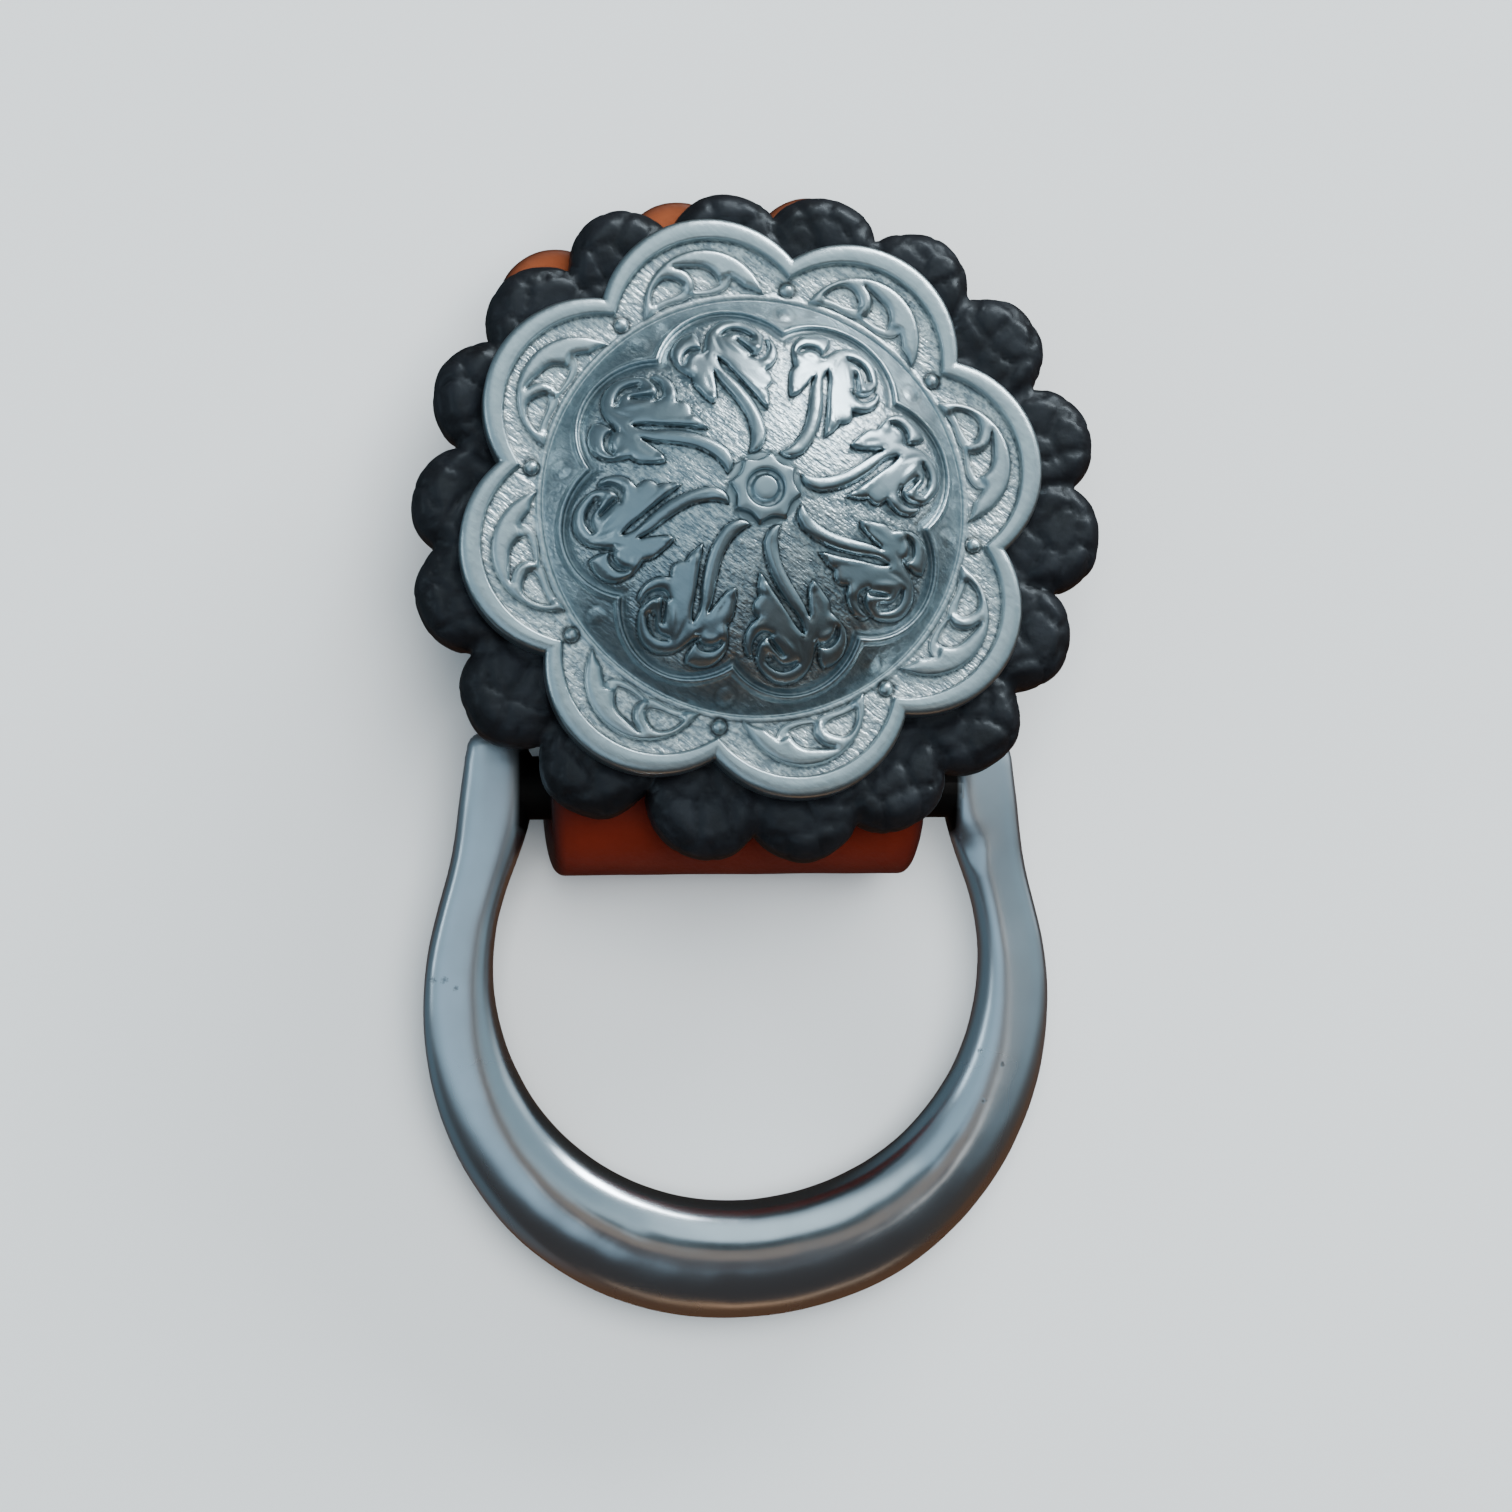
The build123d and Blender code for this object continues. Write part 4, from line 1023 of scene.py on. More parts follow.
def concho_sector():
    """One eighth of the concho, open at its sides, lobe pointing along +Y, its back at height 0."""
    rim, rim_reach = arc_row(BORDER_ARC, 0.0, 0.17)
    spots, faces = sector_face(rim, rim_reach)
    height, recess_shade, grain, domed = concho_height(spots)
    points = [(x, y, z) for (x, y), z in zip(spots, height)]
    marks = {"recess_shade": list(recess_shade), "grain": list(grain), "domed": list(domed)}
    # Painted shade: none on the rim's side, a little on the hidden back, hollow and boss
    side = {"recess_shade": 0.0, "grain": 0.15, "domed": 0.0}
    behind = {"recess_shade": 0.3, "grain": 0.15, "domed": 0.0}

    def strip(one, two):
        for i in range(len(one) - 1):
            faces.append((one[i], one[i + 1], two[i + 1], two[i]))

    # Side, underside, hollow and boss, in rows from the rim inwards
    row = numbers_of(rim, spots)
    for height_here, inset in ((1.0, 0.0), (0.55, 0.0), (0.12, 0.0), (0.03, 0.04), (0.0, 0.12)):
        line, _ = arc_row(BORDER_ARC, inset, 0.17)
        turns, old_turns = np.linspace(0, 1, len(rim)), np.linspace(0, 1, len(line))
        line = np.column_stack([np.interp(turns, old_turns, line[:, k]) for k in (0, 1)])
        below = add_row(points, marks, line, height_here, side)
        strip(row, below)
        row = below
    under = new_plan()
    outer = [points[i][:2] for i in row]
    ball_within = BALL - CONCHO["wall"]
    hollow = sqrt(ball_within**2 - BALL_CENTRE**2)
    steps = np.linspace(-HALF_PITCH, HALF_PITCH, 13)
    inner = [(hollow * sin(a), hollow * cos(a)) for a in steps]
    under["spots"] = [(float(x), float(y)) for x, y in outer + inner[::-1]]
    flat, flat_faces = fill(under, [list(range(len(under["spots"])))])
    flat_numbers = add_row(points, marks, flat, 0.0, behind)
    for face in flat_faces:
        faces.append(tuple(flat_numbers[i] for i in face[::-1]))
    row = add_row(points, marks, inner, 0.0, behind)
    boss_top = BALL_CENTRE + sqrt(ball_within**2 - CONCHO["boss"]**2)
    profile = [(r, BALL_CENTRE + sqrt(ball_within**2 - r**2)) for r in (10.9, 9.5, 8.0, 6.5, 5.0)]
    profile += [(CONCHO["boss"], boss_top), (CONCHO["boss"], 0.0), (SCREW_HOLE, 0.0),
                (SCREW_HOLE, CONCHO["hole_depth"])]
    for radius, height_here in profile:
        circle = [(radius * sin(a), radius * cos(a)) for a in steps]
        below = add_row(points, marks, circle, height_here, behind)
        strip(row, below)
        row = below
    tip = add_row(points, marks, [(0.0, 0.0)], CONCHO["hole_depth"], behind)[0]
    for i in range(len(row) - 1):
        faces.append((row[i], row[i + 1], tip))
    return new_piece("concho_casting", points, faces, marks)


def concho(finish):
    """The whole casting: the sector repeated round its axis, placed on the rosettes."""
    piece = concho_sector()
    grow(piece, REPEAT, {"Count": CONCHO["lobes"], "First turn": CONCHO["turn"], "Finish": finish})
    weld(piece.data, 3e-7)
    points = mesh_points(piece.data)
    uneven = 0.018 * unevenness(points, 0.45) + 0.010 * unevenness(points, 1.7, 40.0)
    face_up = points[:, 2] > CONCHO["plate"] - 0.02
    points[:, 2] += np.where(face_up, uneven, 0.0)
    points[:, 2] += CONCHO_BACK
    move_points(piece.data, on_seat(points))
    piece.data.shade_smooth()
    return piece


# Rosettes

def lobe_centres(size):
    """Middles of a rosette's lobes."""
    places = []
    for index, (lean, reach) in enumerate(size["lobes"]):
        angle = radians(size["turn"] + lean) + 2 * pi * index / len(size["lobes"])
        place = size["radius"] * reach - size["lobe"]
        places.append((place * cos(angle), place * sin(angle)))
    return np.array(places)


def lobe_depth(spots, centres, size):
    """How far each spot is inside the rosette's nearest lobe or its disc, and that lobe's number."""
    away = np.hypot(spots[:, None, 0] - centres[None, :, 0], spots[:, None, 1] - centres[None, :, 1])
    in_disc = size["disc"] - np.hypot(*spots.T)
    return np.maximum(size["lobe"] - away.min(axis=1), in_disc), away.argmin(axis=1)


def rosette_outline(size, centres, step):
    """Where a rosette's rim is, all round."""
    turns = np.linspace(0, 2 * pi, ceil(2 * pi * size["radius"] / step * 4))[:-1]
    way = np.column_stack([np.cos(turns), np.sin(turns)])
    along = way @ centres.T
    across = np.hypot(*centres.T)[None, :]**2 - along**2
    far = along + np.sqrt(np.clip(size["lobe"]**2 - across, 0, None))
    reach = np.where(across < size["lobe"]**2, far, 0).max(axis=1)
    line = way * np.maximum(reach, size["disc"])[:, None]
    closed = np.vstack([line, line[:1]])
    length = lengths_along(closed)
    places = np.linspace(0, length[-1], ceil(length[-1] / step))[:-1]
    return np.column_stack([np.interp(places, length, closed[:, k]) for k in (0, 1)])


def leather_cells(pitch, seed, reach):
    """Middles of the leather's large pebbles, unevenly spread."""
    picker = np.random.default_rng(seed)
    spots = honeycomb(-reach, -reach, 2 * reach, 2 * reach, pitch, 2)
    return spots + picker.uniform(-0.36, 0.36, spots.shape) * pitch


def drift(spots, pace, level):
    """A slow random way for each spot, across and along."""
    return np.array([noise.noise_vector(Vector((x * pace, y * pace, level)))[:2] for x, y in spots])


def cell_height(spots, radius, pitch, seed, slope):
    """1 on top of the leather's cells and 0 in the creases between them, which are a slope wide."""
    bent = spots + 0.5 * drift(spots, 0.5, 3.0)
    cells = leather_cells(pitch, seed, radius + 3)
    height = np.empty(len(spots))
    for start in range(0, len(spots), 4000):
        part = bent[start:start + 4000]
        away = np.hypot(part[:, None, 0] - cells[None, :, 0], part[:, None, 1] - cells[None, :, 1])
        away.partition(1, axis=1)
        between = np.clip((away[:, 1] - away[:, 0]) / slope, 0, 1)
        height[start:start + 4000] = np.sqrt(np.clip(1 - (1 - between)**2, 0, 1))
    return height


def pebble_height(spots, radius):
    """1 on top of the leather's large pebbles and 0 in the creases between them."""
    return cell_height(spots, radius, 2.55, 11, 1.25)


def rosette_face(size, centres, outline, hole, pebbled):
    """A rosette's upper side as a flat drawing, fine where it shows and coarse under the concho."""
    radius, offset = size["radius"], np.array(size["middle"])
    plan = new_plan()
    plan["spots"] = [(float(x), float(y)) for x, y in outline] + hole
    count = len(outline)
    hole_numbers = list(range(count, count + len(hole)))
    plan["edges"] += [(a, b) for a, b in zip(hole_numbers, hole_numbers[1:] + hole_numbers[:1])]
    for inset in (0.03, 0.10, 0.22, 0.40, 0.65, 0.95):
        moved = beside(outline, inset, True)
        depth, _ = lobe_depth(moved, centres, size)
        lay_row(plan, moved, np.abs(depth - inset) < 0.05, closed=True)

    def seen(spots):
        depth, _ = lobe_depth(spots, centres, size)
        far = np.hypot(*spots.T)
        return ((depth > 0.5) | ((far > 15.0) & (far < radius - 4.0))) & (far > 15.2)

    pitch, room = (0.30, 0.2) if pebbled else (0.5, 0.35)
    lay_grid(plan, (-radius, -radius, radius, radius), pitch, seen, room)
    hidden = lambda spots: (np.hypot(*spots.T) < 15.0) & (np.hypot(*(spots + offset).T) > SCREW_HOLE + 0.8)
    lay_grid(plan, (-15, -15, 15, 15), 1.6, hidden, 0.9)
    spots, faces = fill(plan, [list(range(count))])
    middles = np.array([spots[list(face)].mean(axis=0) for face in faces])
    outside_hole = np.hypot(*(middles + offset).T) > SCREW_HOLE
    return spots, [face for face, kept in zip(faces, outside_hole) if kept]


def rosette_top(spots, size, centres, pebbled):
    """Height of a rosette's upper side, with how much painted shade its creases get and how near the edge
    each spot is.
    """
    thickness, bend = size["thickness"], size["bend"]
    depth, lobe = lobe_depth(spots, centres, size)
    top = thickness - (bend - np.sqrt(np.clip(bend**2 - np.clip(bend - depth, 0, bend)**2, 0, None)))
    crease_shade = np.zeros(len(spots))
    if pebbled:
        from_axis = np.hypot(*(spots + np.array(size["middle"])).T)
        pebble = pebble_height(spots, size["radius"])
        small = cell_height(spots, size["radius"], 1.5, 23, 0.7)
        tilt = np.random.default_rng(7).uniform(-0.10, 0.16, len(centres))[lobe]
        puff = 0.40 * ease((from_axis - 17.6) / 2.2) * ease(depth / 1.4)
        sunk = 0.33 * (1 - pebble) + 0.11 * (1 - small)
        top = top + puff * (0.9 + tilt) - sunk * ease((from_axis - 15.5) / 1.0) * ease(0.3 + depth / 0.8)
        # Painted shade, darkest deep in the creases between the pebbles
        crease_shade = np.clip((1 - pebble)**2 * 0.9 + 0.35 * (1 - small)**2, 0, 1)
    return top, crease_shade, np.clip(1 - depth / 0.8, 0, 1)


def uneven_rim(points, size, centres, pebbled):
    """Moves a rosette's rim a little, as cut by hand, and draws it in at the creases of pebbled leather."""
    flat = points[:, :2].copy()
    outer = ease((np.hypot(*flat.T) - 14) / 3)
    points[:, :2] += drift(flat, 0.42, 9.0) * (0.16 if pebbled else 0.08) * outer[:, None]
    if pebbled:
        depth, lobe = lobe_depth(flat, centres, size)
        away = flat - centres[lobe]
        away /= np.maximum(np.hypot(*away.T), 0.2)[:, None]
        dip = 0.10 * (1 - pebble_height(flat, size["radius"]))**1.5 * ease(1 - depth / 1.6) * outer
        points[:, :2] -= away * dip[:, None]


def rosette(name, size, bottom, finish, pebbled):
    """A lobed disc of leather on the seat, pebbled and creased where asked."""
    offset = np.array(size["middle"])
    centres = lobe_centres(size)
    outline = rosette_outline(size, centres, 0.30)
    hole = [(SCREW_HOLE * cos(a) - offset[0], SCREW_HOLE * sin(a) - offset[1])
            for a in np.linspace(0, 2 * pi, 25)[:-1]]
    spots, faces = rosette_face(size, centres, outline, hole, pebbled)
    top, crease_shade, edge = rosette_top(spots, size, centres, pebbled)
    points = [(x, y, z) for (x, y), z in zip(spots, top)]
    marks = {"crease_shade": list(crease_shade), "edge": list(edge)}
    # Painted shade: some on the rim's side, more on the hidden underside
    side, behind = {"crease_shade": 0.35, "edge": 1.0}, {"crease_shade": 0.5, "edge": 0.6}

    def strip(one, two, turned=False):
        for i in range(len(one)):
            j = (i + 1) % len(one)
            face = (one[i], two[i], two[j], one[j])
            faces.append(face[::-1] if turned else face)

    row, hole_top = numbers_of(outline, spots), numbers_of(hole, spots)
    widest, bulge = size["thickness"] - size["bend"] - 0.25, 0.05
    for height, out in ((widest, bulge), (0.45, bulge), (0.12, 0.0), (0.0, -0.12)):
        line = beside(outline, -out, True)
        depth_here, _ = lobe_depth(line, centres, size)
        line = np.where((depth_here < 0.4)[:, None], line, outline)
        below = add_row(points, marks, line, height, side)
        strip(row, below)
        row = below
    strip(hole_top, add_row(points, marks, hole, 0.0, side), turned=True)
    under = new_plan()
    lower = [points[i][:2] for i in row]
    under["spots"] = lower + hole
    k = len(lower)
    under["edges"] = [(k + i, k + (i + 1) % len(hole)) for i in range(len(hole))]
    flat, flat_faces = fill(under, [list(range(k))])
    flat_numbers = add_row(points, marks, flat, 0.0, behind)
    for face in flat_faces:
        if np.hypot(*(flat[list(face)].mean(axis=0) + offset)) > SCREW_HOLE:
            faces.append(tuple(flat_numbers[i] for i in face[::-1]))
    points = np.array(points)
    uneven_rim(points, size, centres, pebbled)
    points[:, :2] += offset
    points[:, 2] += bottom
    piece = new_piece(name, on_seat(points), faces, marks)
    weld(piece.data, 1e-6)
    piece.data.materials.append(finish)
    piece.data.shade_smooth()
    return piece


# Strap

def turned_corner(before, corner, after, radius, step):
    """Points round a corner of a path, on an arc of the radius."""
    way_in = (corner - before) / np.hypot(*(corner - before))
    way_out = (after - corner) / np.hypot(*(after - corner))
    bend = atan2(way_in[0] * way_out[1] - way_in[1] * way_out[0], way_in @ way_out)
    back = radius * tan(abs(bend) / 2)
    side = np.array([-way_in[1], way_in[0]]) * (1 if bend > 0 else -1)
    centre = corner - way_in * back + side * radius
    turns = np.linspace(0, abs(bend), max(3, ceil(abs(bend) * radius / step)))
    return [centre - side * radius * cos(a) + way_in * radius * sin(a) for a in turns]


def strap_path():
    """The middle of the strap's thickness seen from its edge (along Y, up), from front end to back end."""
    size = STRAP
    mid = size["thickness"] / 2
    bar = BAR[1:]
    out = OUT[1:]
    up_slope = UP_SLOPE[1:]
    half_turn = LIE / 2
    fold_back = np.array([-cos(half_turn), sin(half_turn)])
    fold = size["loop"] + size["slack"] * sin(half_turn)
    fold_centre = bar + fold_back * size["slack"]
    length = size["bar_to_screw"] + size["above_screw"]
    front_end = bar + out * (size["loop"] + mid) + up_slope * length
    front_start = fold_centre + out * (fold + mid)
    floor_way = np.array([0.0, -1.0])
    path = [front_end + (front_start - front_end) * share
            for share in np.linspace(0, 1, size["front_steps"] + 1)[:-1]]
    start = atan2(out[1], out[0])
    end = atan2(floor_way[1], floor_way[0]) + 2 * pi
    for angle in np.linspace(start, end, size["fold_steps"]):
        path.append(fold_centre + (fold + mid) * np.array([cos(angle), sin(angle)]))
    back_flat = fold_centre + floor_way * (fold + mid)
    gap = size["loop"] - size["ply_gap"] - mid
    knee = np.array([bar[0] + size["knee_from_bar"], back_flat[1]])
    join = bar + out * gap + up_slope * size["join_from_bar"]
    finish = bar + out * gap + up_slope * length
    path += turned_corner(back_flat, knee, join, size["knee"] + mid, 0.8)
    path += turned_corner(knee, join, finish, size["knee"] - mid, 0.8)
    last = path[-1]
    path += [last + (finish - last) * share for share in np.linspace(0, 1, 22)[1:]]
    return np.array(path)


def strap_profile(half_width, half_thick):
    """The strap's section in shares of its half sizes: round corners and even steps on its flat sides."""
    corner = STRAP["corner"]
    profile = []
    for x, y, start in ((1, 1, 0), (-1, 1, 90), (-1, -1, 180), (1, -1, 270)):
        for angle in np.linspace(start, start + 90, 7):
            profile.append(((x * (half_width - corner) + corner * cos(radians(angle))) / half_width,
                            (y * (half_thick - corner) + corner * sin(radians(angle))) / half_thick))
    full = []
    for one, two in zip(profile, profile[1:] + profile[:1]):
        steps = 24 if abs(one[0] - two[0]) > 1 else 1
        full += [(one[0] + (two[0] - one[0]) * k / steps, one[1] + (two[1] - one[1]) * k / steps)
                 for k in range(steps)]
    return full + [full[0]]


def strap_rows(half_width, half_thick):
    """Sections along the strap, taken in a little at the fold and rounded at the cut ends."""
    path = strap_path()
    way = np.gradient(path, axis=0)
    way /= np.hypot(*way.T)[:, None]
    length = lengths_along(path)
    tightest = length[STRAP["front_steps"] + STRAP["fold_steps"] // 2 - 1]
    rows = []
    for place, direction, along in zip(path, way, length):
        normal = np.array([0.0, -direction[1], direction[0]]) * -1
        taken_in = 0.45 * np.exp(-((along - tightest) / 4.0)**2)
        centre = np.array([BAR[0] + STRAP["offset"], place[0], place[1]])
        rows.append([centre, np.array([half_width - taken_in, 0, 0]), normal * half_thick, 0.0])
    capped = []
    for end, inward in ((rows[0], way[0]), (rows[-1], -way[-1])):
        cap = []
        for share, pull in ((0.0, 0.0), (0.9, 0.0), (0.97, 0.03), (1.0, 0.35)):
            shift = np.array([0, *(inward * pull)])
            shrink = np.array([half_width - 0.5 * (1 - share), 0, 0]) if share else np.zeros(3)
            up = end[2] * (1 - 0.5 * (1 - share) / half_thick) if share else np.zeros(3)
            cap.append([end[0] + shift, shrink, up, 0.0])
        capped.append(cap)
    return capped[0] + rows[1:-1] + capped[1][::-1]


def strap(finish):
    """The folded strap: rounded edges, taken in a little at the fold, let in for the screw behind."""
    half_width, half_thick = STRAP["width"] / 2, STRAP["thickness"] / 2
    profile = strap_profile(half_width, half_thick)
    piece = sweep("strap_leather_loop", strap_rows(half_width, half_thick), profile, profile, finish)
    for radius, low, high in ((SCREW_HOLE, -7.0, 1.0), (STRAP["head"], -7.0, -5.7 + STRAP["head_depth"])):
        drill(piece, radius, low, high)
    points = mesh_points(piece.data)
    from_side = half_width - np.abs(points[:, 0] - (BAR[0] + STRAP["offset"]))
    from_end = STRAP["above_screw"] - (points - SEAT) @ UP_SLOPE
    add_mark(piece.data, "edge",
             np.clip(1 - np.minimum(from_side, np.clip(from_end, 0, None)) / 1.3, 0, 1))
    # The flat sides are a little uneven, but not by the screw
    from_screw = np.hypot(*((points - SEAT) @ np.column_stack([ACROSS, UP_SLOPE])).T)
    flat = np.clip(from_side / 2.0, 0, 1) * (from_screw > 6)
    out = unevenness(points, 0.25) * flat * 0.05 - 0.04 * flat
    move_points(piece.data, points + outward_ways(piece.data) * out[:, None])
    piece.data.shade_smooth()
    return piece


def drill(piece, radius, low, high):
    """Takes a round hole out of a piece, square to the seat."""
    turns = np.linspace(0, 2 * pi, 49)[:-1]
    points = [(radius * cos(a), radius * sin(a), h) for h in (low, high) for a in turns]
    count = len(turns)
    faces = [(i, (i + 1) % count, count + (i + 1) % count, count + i) for i in range(count)]
    faces += [tuple(range(count))[::-1], tuple(range(count, 2 * count))]
    tool = new_piece("drill", on_seat(points), faces)
    combine(piece, tool, "DIFFERENCE")


# Ring

def ring_rows():
    """Sections from the left lug round the bottom to the right lug, the bar's axis along X at height 0."""
    middle = np.array([0.0, -RING["centre_from_bar"]])
    table = []
    for turn, share in RING_SECTIONS:
        width, thick = [RING["bottom"][k] + (RING["arm"][k] - RING["bottom"][k]) * share for k in (0, 1)]
        outward = np.array([sin(radians(turn)), -cos(radians(turn))])
        centre = middle + outward * (RING["opening"] + width / 2)
        table.append((*centre, width / 2, thick / 2, *outward))
    for reach, shrink in ((0.0, 1.0), (RING["lug_reach"], RING["lug_end"])):
        width, thick = [side / 2 * shrink for side in RING["lug"]]
        table.append((RING["lug_from_middle"], reach, width, thick, 1.0, 0.0))
    flip = np.array([-1, 1, 1, 1, -1, 1])
    table = [np.array(row) * flip for row in table[:0:-1]] + [np.array(row) for row in table]
    return smooth_line(table, 0.55)


def rounded_lugs(rows):
    """The ring's sections with both lugs' ends rounded off."""
    reach, bend = RING["lug_reach"], 1.2
    ends = [rows[0], rows[-1]]
    rows = [row for row in rows if row[0][1] < reach - bend - 0.1]
    for end, at_start in zip(ends, (True, False)):
        for angle in (0, 18, 36, 54, 70, 82, 90):
            away = bend * (1 - cos(radians(angle)))
            place = np.array([end[0][0], reach - bend + bend * sin(radians(angle)), 0.0])
            half_width, half_thick = np.linalg.norm(end[1]) + 0.1, np.linalg.norm(end[2]) + 0.1
            shrink = 0.0 if angle == 90 else 1.0
            row = [place, end[1] * shrink * (half_width - away) / np.linalg.norm(end[1]),
                   end[2] * shrink * (half_thick - away) / np.linalg.norm(end[2]), 1.0]
            rows.insert(0 if at_start else len(rows), row)
    return rows


def ring_profiles():
    """The round section of the ring's bottom and the flattened one of its arms, in unit sizes."""
    turns = np.linspace(0, 2 * pi, 73)
    circle = np.column_stack([np.cos(turns), np.sin(turns)])
    power = np.where(np.cos(turns) > 0, 0.42, 0.74)
    flat = np.column_stack([np.sign(np.cos(turns)) * np.abs(np.cos(turns))**power,
                            np.sign(np.sin(turns)) * np.abs(np.sin(turns))**power])
    flat[:, 1] *= 1 - 0.13 * (flat[:, 0] + 0.1)
    flat[-1] = flat[0]
    return circle, flat


def dress_ring(piece):
    """Makes the casting a little uneven, and dresses the right arm's inner edge off in a facet."""
    points = mesh_points(piece.data)
    uneven = unevenness(points, 0.16) + 0.4 * unevenness(points, 0.5)
    points = points + outward_ways(piece.data) * (0.05 * uneven - 0.04)[:, None]
    facet_normal = np.array([-0.42, 0.10, 0.90])
    facet_normal /= np.linalg.norm(facet_normal)
    facet_spot = np.array([15.9, -3.6, 1.95])
    proud = (points - facet_spot) @ facet_normal
    on_arm = (points[:, 0] > 0) & (points[:, 1] > -13)
    near = ease((points[:, 1] + 12.0) / 6.0) * ease((-2.0 - points[:, 1]) / 3.2)
    points -= facet_normal * (np.clip(proud, 0, None) * on_arm * near)[:, None]
    # The right half stands a little further out than the left one
    points[:, 0] += 0.40 * ease(points[:, 0] / 12.0)
    move_points(piece.data, points)


def ring(finish):
    """The cast ring: a heavy round bottom, flattened arms and rounded lugs on its bar."""
    rows = []
    for x, y, half_width, half_thick, out_x, out_y in ring_rows():
        outward = np.array([out_x, out_y, 0.0]) / hypot(out_x, out_y)
        rows.append([np.array([x, y, 0.0]), outward * half_width, np.array([0, 0, half_thick]),
                     float(ease((y + 27.0) / 17.0))])
    circle, flat = ring_profiles()
    piece = sweep("ring_casting", rounded_lugs(rows), circle, flat, finish)
    dress_ring(piece)
    bar_rows = []
    for x, size in ((-14.6, 0.0), (-14.6, 1.0), (-12.0, 1.0), (0.0, 1.0), (12.0, 1.0), (14.8, 1.0),
                    (14.8, 0.0)):
        half = RING["bar"] * size
        bar_rows.append([np.array([x, 0.0, 0.0]), np.array([0, half, 0.0]), np.array([0, 0, half]), 0.0])
    combine(piece, sweep("ring_bar", bar_rows, circle, circle, finish), "UNION")
    points = mesh_points(piece.data)
    turn = RING["rest"]
    y, z = points[:, 1].copy(), points[:, 2].copy()
    points[:, 1] = y * cos(turn) - z * sin(turn)
    points[:, 2] = y * sin(turn) + z * cos(turn)
    move_points(piece.data, points + BAR)
    piece.data.shade_smooth()
    return piece


# Stage

def aim(thing, place, target):
    """Puts a light at a place and turns it to a target."""
    way = Vector(target) - Vector(place)
    thing.location = place
    thing.rotation_euler = way.to_track_quat("-Z", "Y").to_euler()


def softbox(name, place, size, power, colour, mirrored=True):
    """A large soft lamp that faces the part, seen in the metal or not."""
    lamp = bpy.data.lights.new(name, "AREA")
    lamp.shape = "RECTANGLE"
    lamp.size, lamp.size_y = size
    lamp.energy = power
    lamp.color = colour
    thing = bpy.data.objects.new(name, lamp)
    thing.visible_glossy = mirrored
    bpy.context.scene.collection.objects.link(thing)
    aim(thing, place, (0, 0.005, 0))


def floor_and_cards():
    """The pale floor, and dull cards above the part that are seen in the metal only."""
    floor = new_piece("floor", [(-1500, -1500, 0), (1500, -1500, 0), (1500, 1500, 0), (-1500, 1500, 0)],
                      [(0, 1, 2, 3)])
    floor.data.materials.append(floor_finish())
    floor.visible_glossy = False
    for name, left, low, right, high, up, tone in (
            ("camera card", -62, -6, 70, 70, 246, (0.020, 0.034, 0.040)),
            ("hand card", -24, -62, 56, 4, 244, (0.25, 0.19, 0.15)),
            ("sleeve card", 2, -125, 62, -40, 248, (0.055, 0.046, 0.048))):
        corners = [(left, low, up), (right, low, up), (right, high, up), (left, high, up)]
        card = new_piece(name, corners, [(0, 3, 2, 1)])
        card.data.materials.append(card_finish(name, tone))
        card.visible_camera = card.visible_diffuse = card.visible_shadow = False


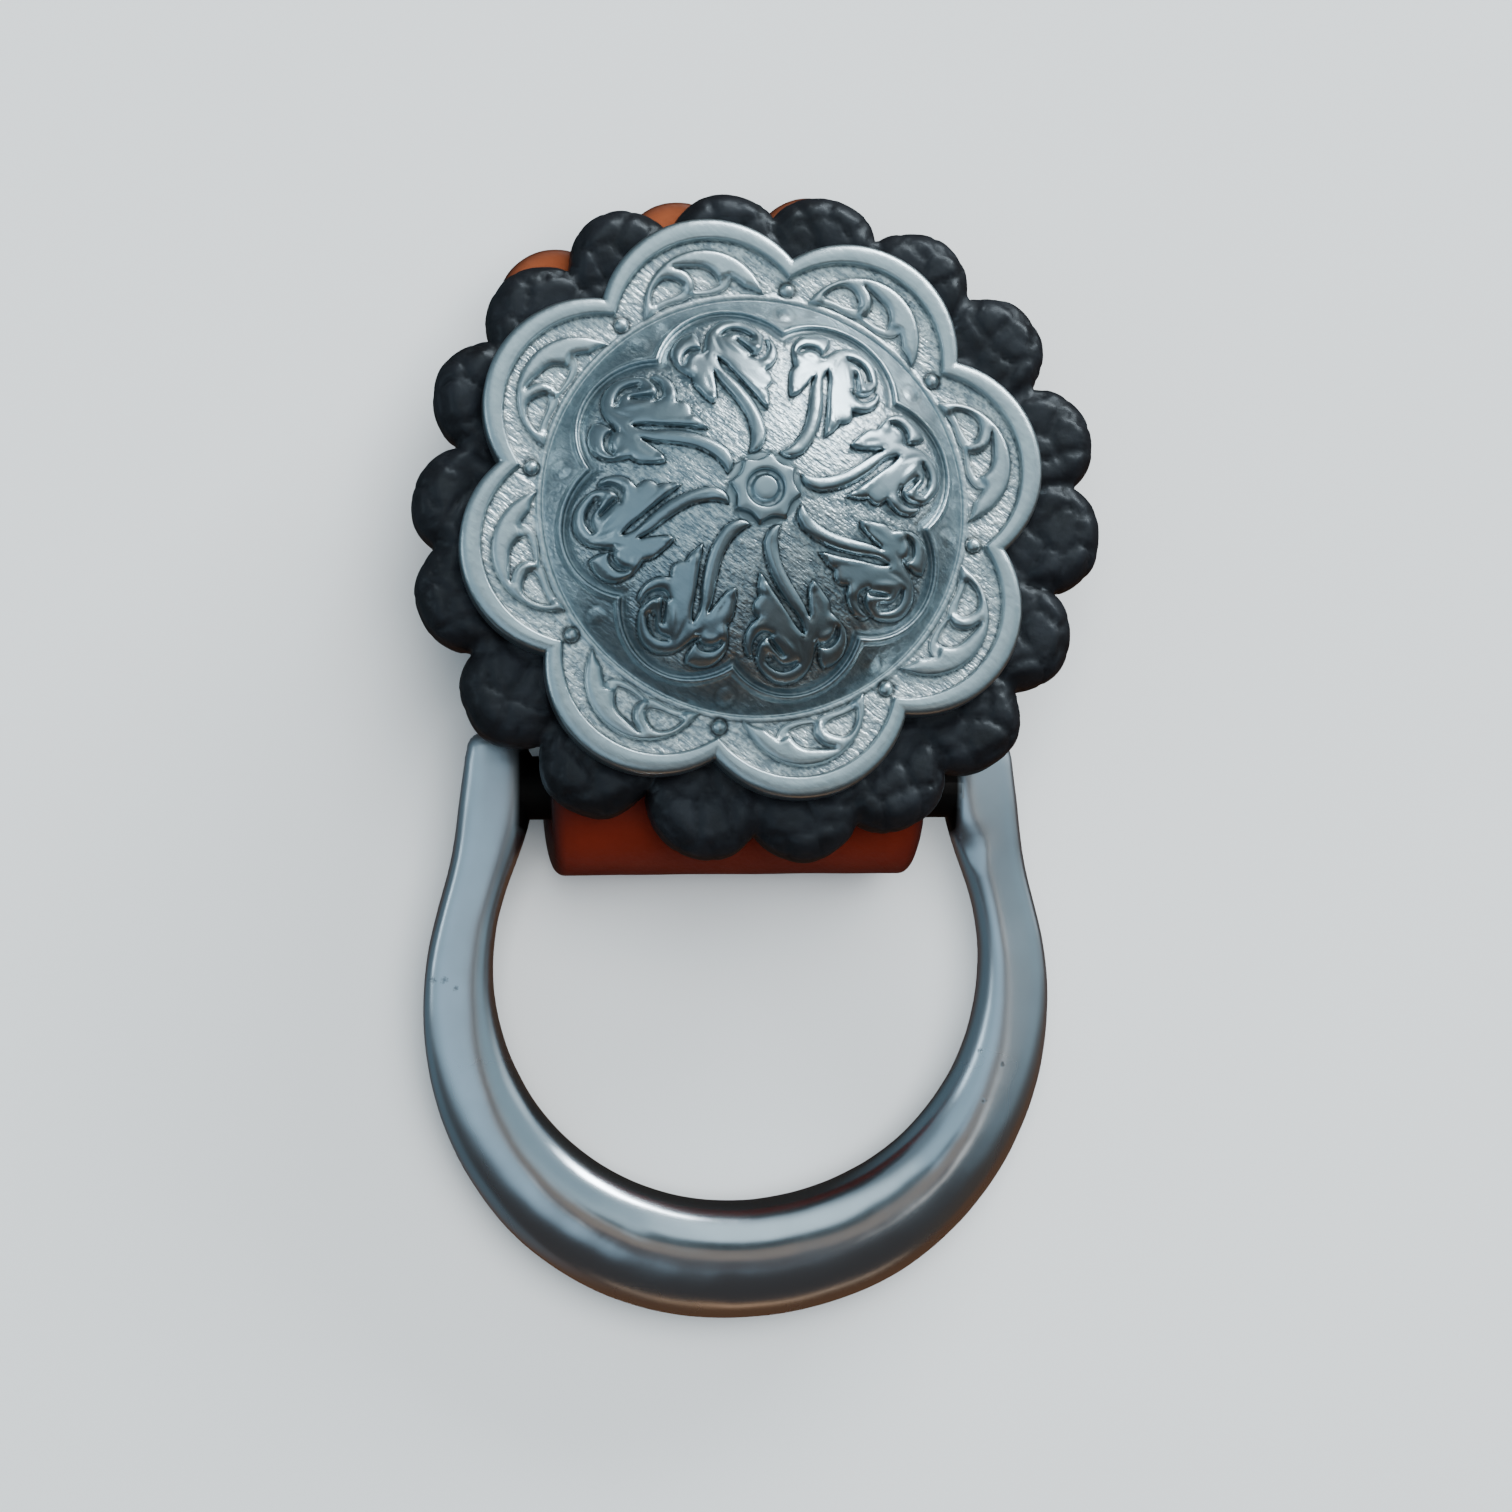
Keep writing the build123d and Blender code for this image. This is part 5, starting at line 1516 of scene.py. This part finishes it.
def room():
    """Light from all round: a dim room over a dark table, with brighter patches, and soft lamps."""
    world = bpy.data.worlds.new("room")
    bpy.context.scene.world = world
    world.use_nodes = True
    tree = world.node_tree
    way = node(tree, "ShaderNodeTexCoord").outputs["Generated"]
    side, depth, height = node(tree, "ShaderNodeSeparateXYZ", (0, way)).outputs
    sky = blend_colours(tree, spread(tree, depth, -0.45, 0.10, 0.0, 1.0),
                        (0.050, 0.046, 0.046), (0.16, 0.215, 0.25))
    for towards, inner, outer, colour in (
            ((0.07, 0.48, 0.87), 20, 42, (0.94, 1.15, 1.23)),
            ((0.80, 0.20, 0.56), 20, 46, (0.31, 0.43, 0.49)),
            ((1.00, 0.20, 0.22), 5, 16, (0.85, 1.00, 1.06)),
            ((-0.62, 0.00, 0.78), 16, 36, (0.38, 0.54, 0.64)),
            ((-0.30, -0.22, 0.93), 8, 26, (0.52, 0.72, 0.86)),
            ((1.00, -0.50, 0.10), 10, 40, (0.07, 0.055, 0.045)),
            ((0.10, -1.00, 0.02), 5, 15, (0.20, 0.10, 0.05))):
        near = node(tree, "ShaderNodeVectorMath", (0, way), (1, tuple(Vector(towards).normalized())),
                    operation="DOT_PRODUCT").outputs["Value"]
        share = node(tree, "ShaderNodeMapRange", ("Value", near), ("From Min", cos(radians(outer))),
                     ("From Max", cos(radians(inner))), interpolation_type="SMOOTHSTEP").outputs[0]
        sky = blend_colours(tree, share, sky, colour)
    table = blend_colours(tree, spread(tree, depth, -0.4, 0.3, 0.0, 1.0),
                          (0.12, 0.06, 0.033), (0.03, 0.027, 0.025))
    table = blend_colours(tree, spread(tree, side, -0.25, -0.7, 0.0, 1.0), table, (0.10, 0.15, 0.18))
    sky = blend_colours(tree, spread(tree, height, -0.10, 0.02, 0.0, 1.0), table, sky)
    background = tree.nodes["Background"]
    tree.links.new(sky, background.inputs[0])
    background.inputs[1].default_value = 1.0
    softbox("window", (0.50, 0.85, 0.30), (0.80, 0.26), 15.0, (0.90, 0.97, 1.0))
    softbox("left wall", (-0.92, 0.12, 0.34), (0.45, 0.16), 0.80, (0.72, 0.90, 1.0))
    softbox("warm wall", (0.15, -1.0, 0.09), (0.9, 0.10), 0.18, (1.0, 0.66, 0.42))
    softbox("ceiling bulb", (0.16, -0.20, 1.0), (0.26, 0.26), 0.26, (1.0, 0.93, 0.84))
    softbox("overhead cloth", (0.10, 0.25, 1.0), (0.8, 0.8), 13.0, (0.97, 0.99, 1.0), False)


def camera():
    """The camera at the photograph's viewing angle."""
    lens = bpy.data.cameras.new("camera")
    lens.sensor_width = 36.0
    lens.sensor_fit = "HORIZONTAL"
    lens.angle = radians(VIEW["angle"])
    lens.clip_start = 0.01
    eye = bpy.data.objects.new("camera", lens)
    bpy.context.scene.collection.objects.link(eye)
    back = Vector(VIEW["back"]).normalized()
    right = Vector((0, 1, 0)).cross(back).normalized()
    up = back.cross(right)
    target = Vector(SEAT + OUT * (CONCHO_BACK + VIEW["looks_over"]))
    across, above, away = VIEW["from_there"]
    place = (target + across * right + above * up + away * back) * MM
    turned = Matrix((right, up, back)).transposed().to_4x4()
    turned.translation = place
    eye.matrix_world = turned
    bpy.context.scene.camera = eye


camera()
floor_and_cards()
room()
concho_metal, ring_metal = concho_finish(), ring_finish()
tan_finish = brown_finish("tan leather", (0.24, 0.060, 0.020), (0.17, 0.038, 0.012),
                          (0.03, 0.010, 0.006), 0.5)
strap_finish = brown_finish("strap leather", (0.155, 0.017, 0.0075), (0.125, 0.013, 0.006),
                            (0.006, 0.004, 0.004), 0.5)
casting = concho(concho_metal)
black = rosette("black_leather_rosette", BLACK, BLACK_BOTTOM, black_finish(), True)
brown = rosette("tan_leather_rosette", TAN, TAN_BOTTOM, tan_finish, False)
loop = strap(strap_finish)
hoop = ring(ring_metal)
for piece, body, cad_node, slot in (
        (casting, "concho_and_strap", "concho", "cast_metal"),
        (black, "concho_and_strap", "black_rosette", "black_leather"),
        (brown, "concho_and_strap", "tan_rosette", "tan_leather"),
        (loop, "concho_and_strap", "strap_loop", "strap_leather"),
        (hoop, "ring", "ring", "ring_metal")):
    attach(piece, body)
    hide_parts(cad_node)
steel = screw_finish()
for screw in [thing for thing in bpy.data.objects if thing.name.startswith("back_screw")]:
    for place in screw.material_slots:
        place.material = steel
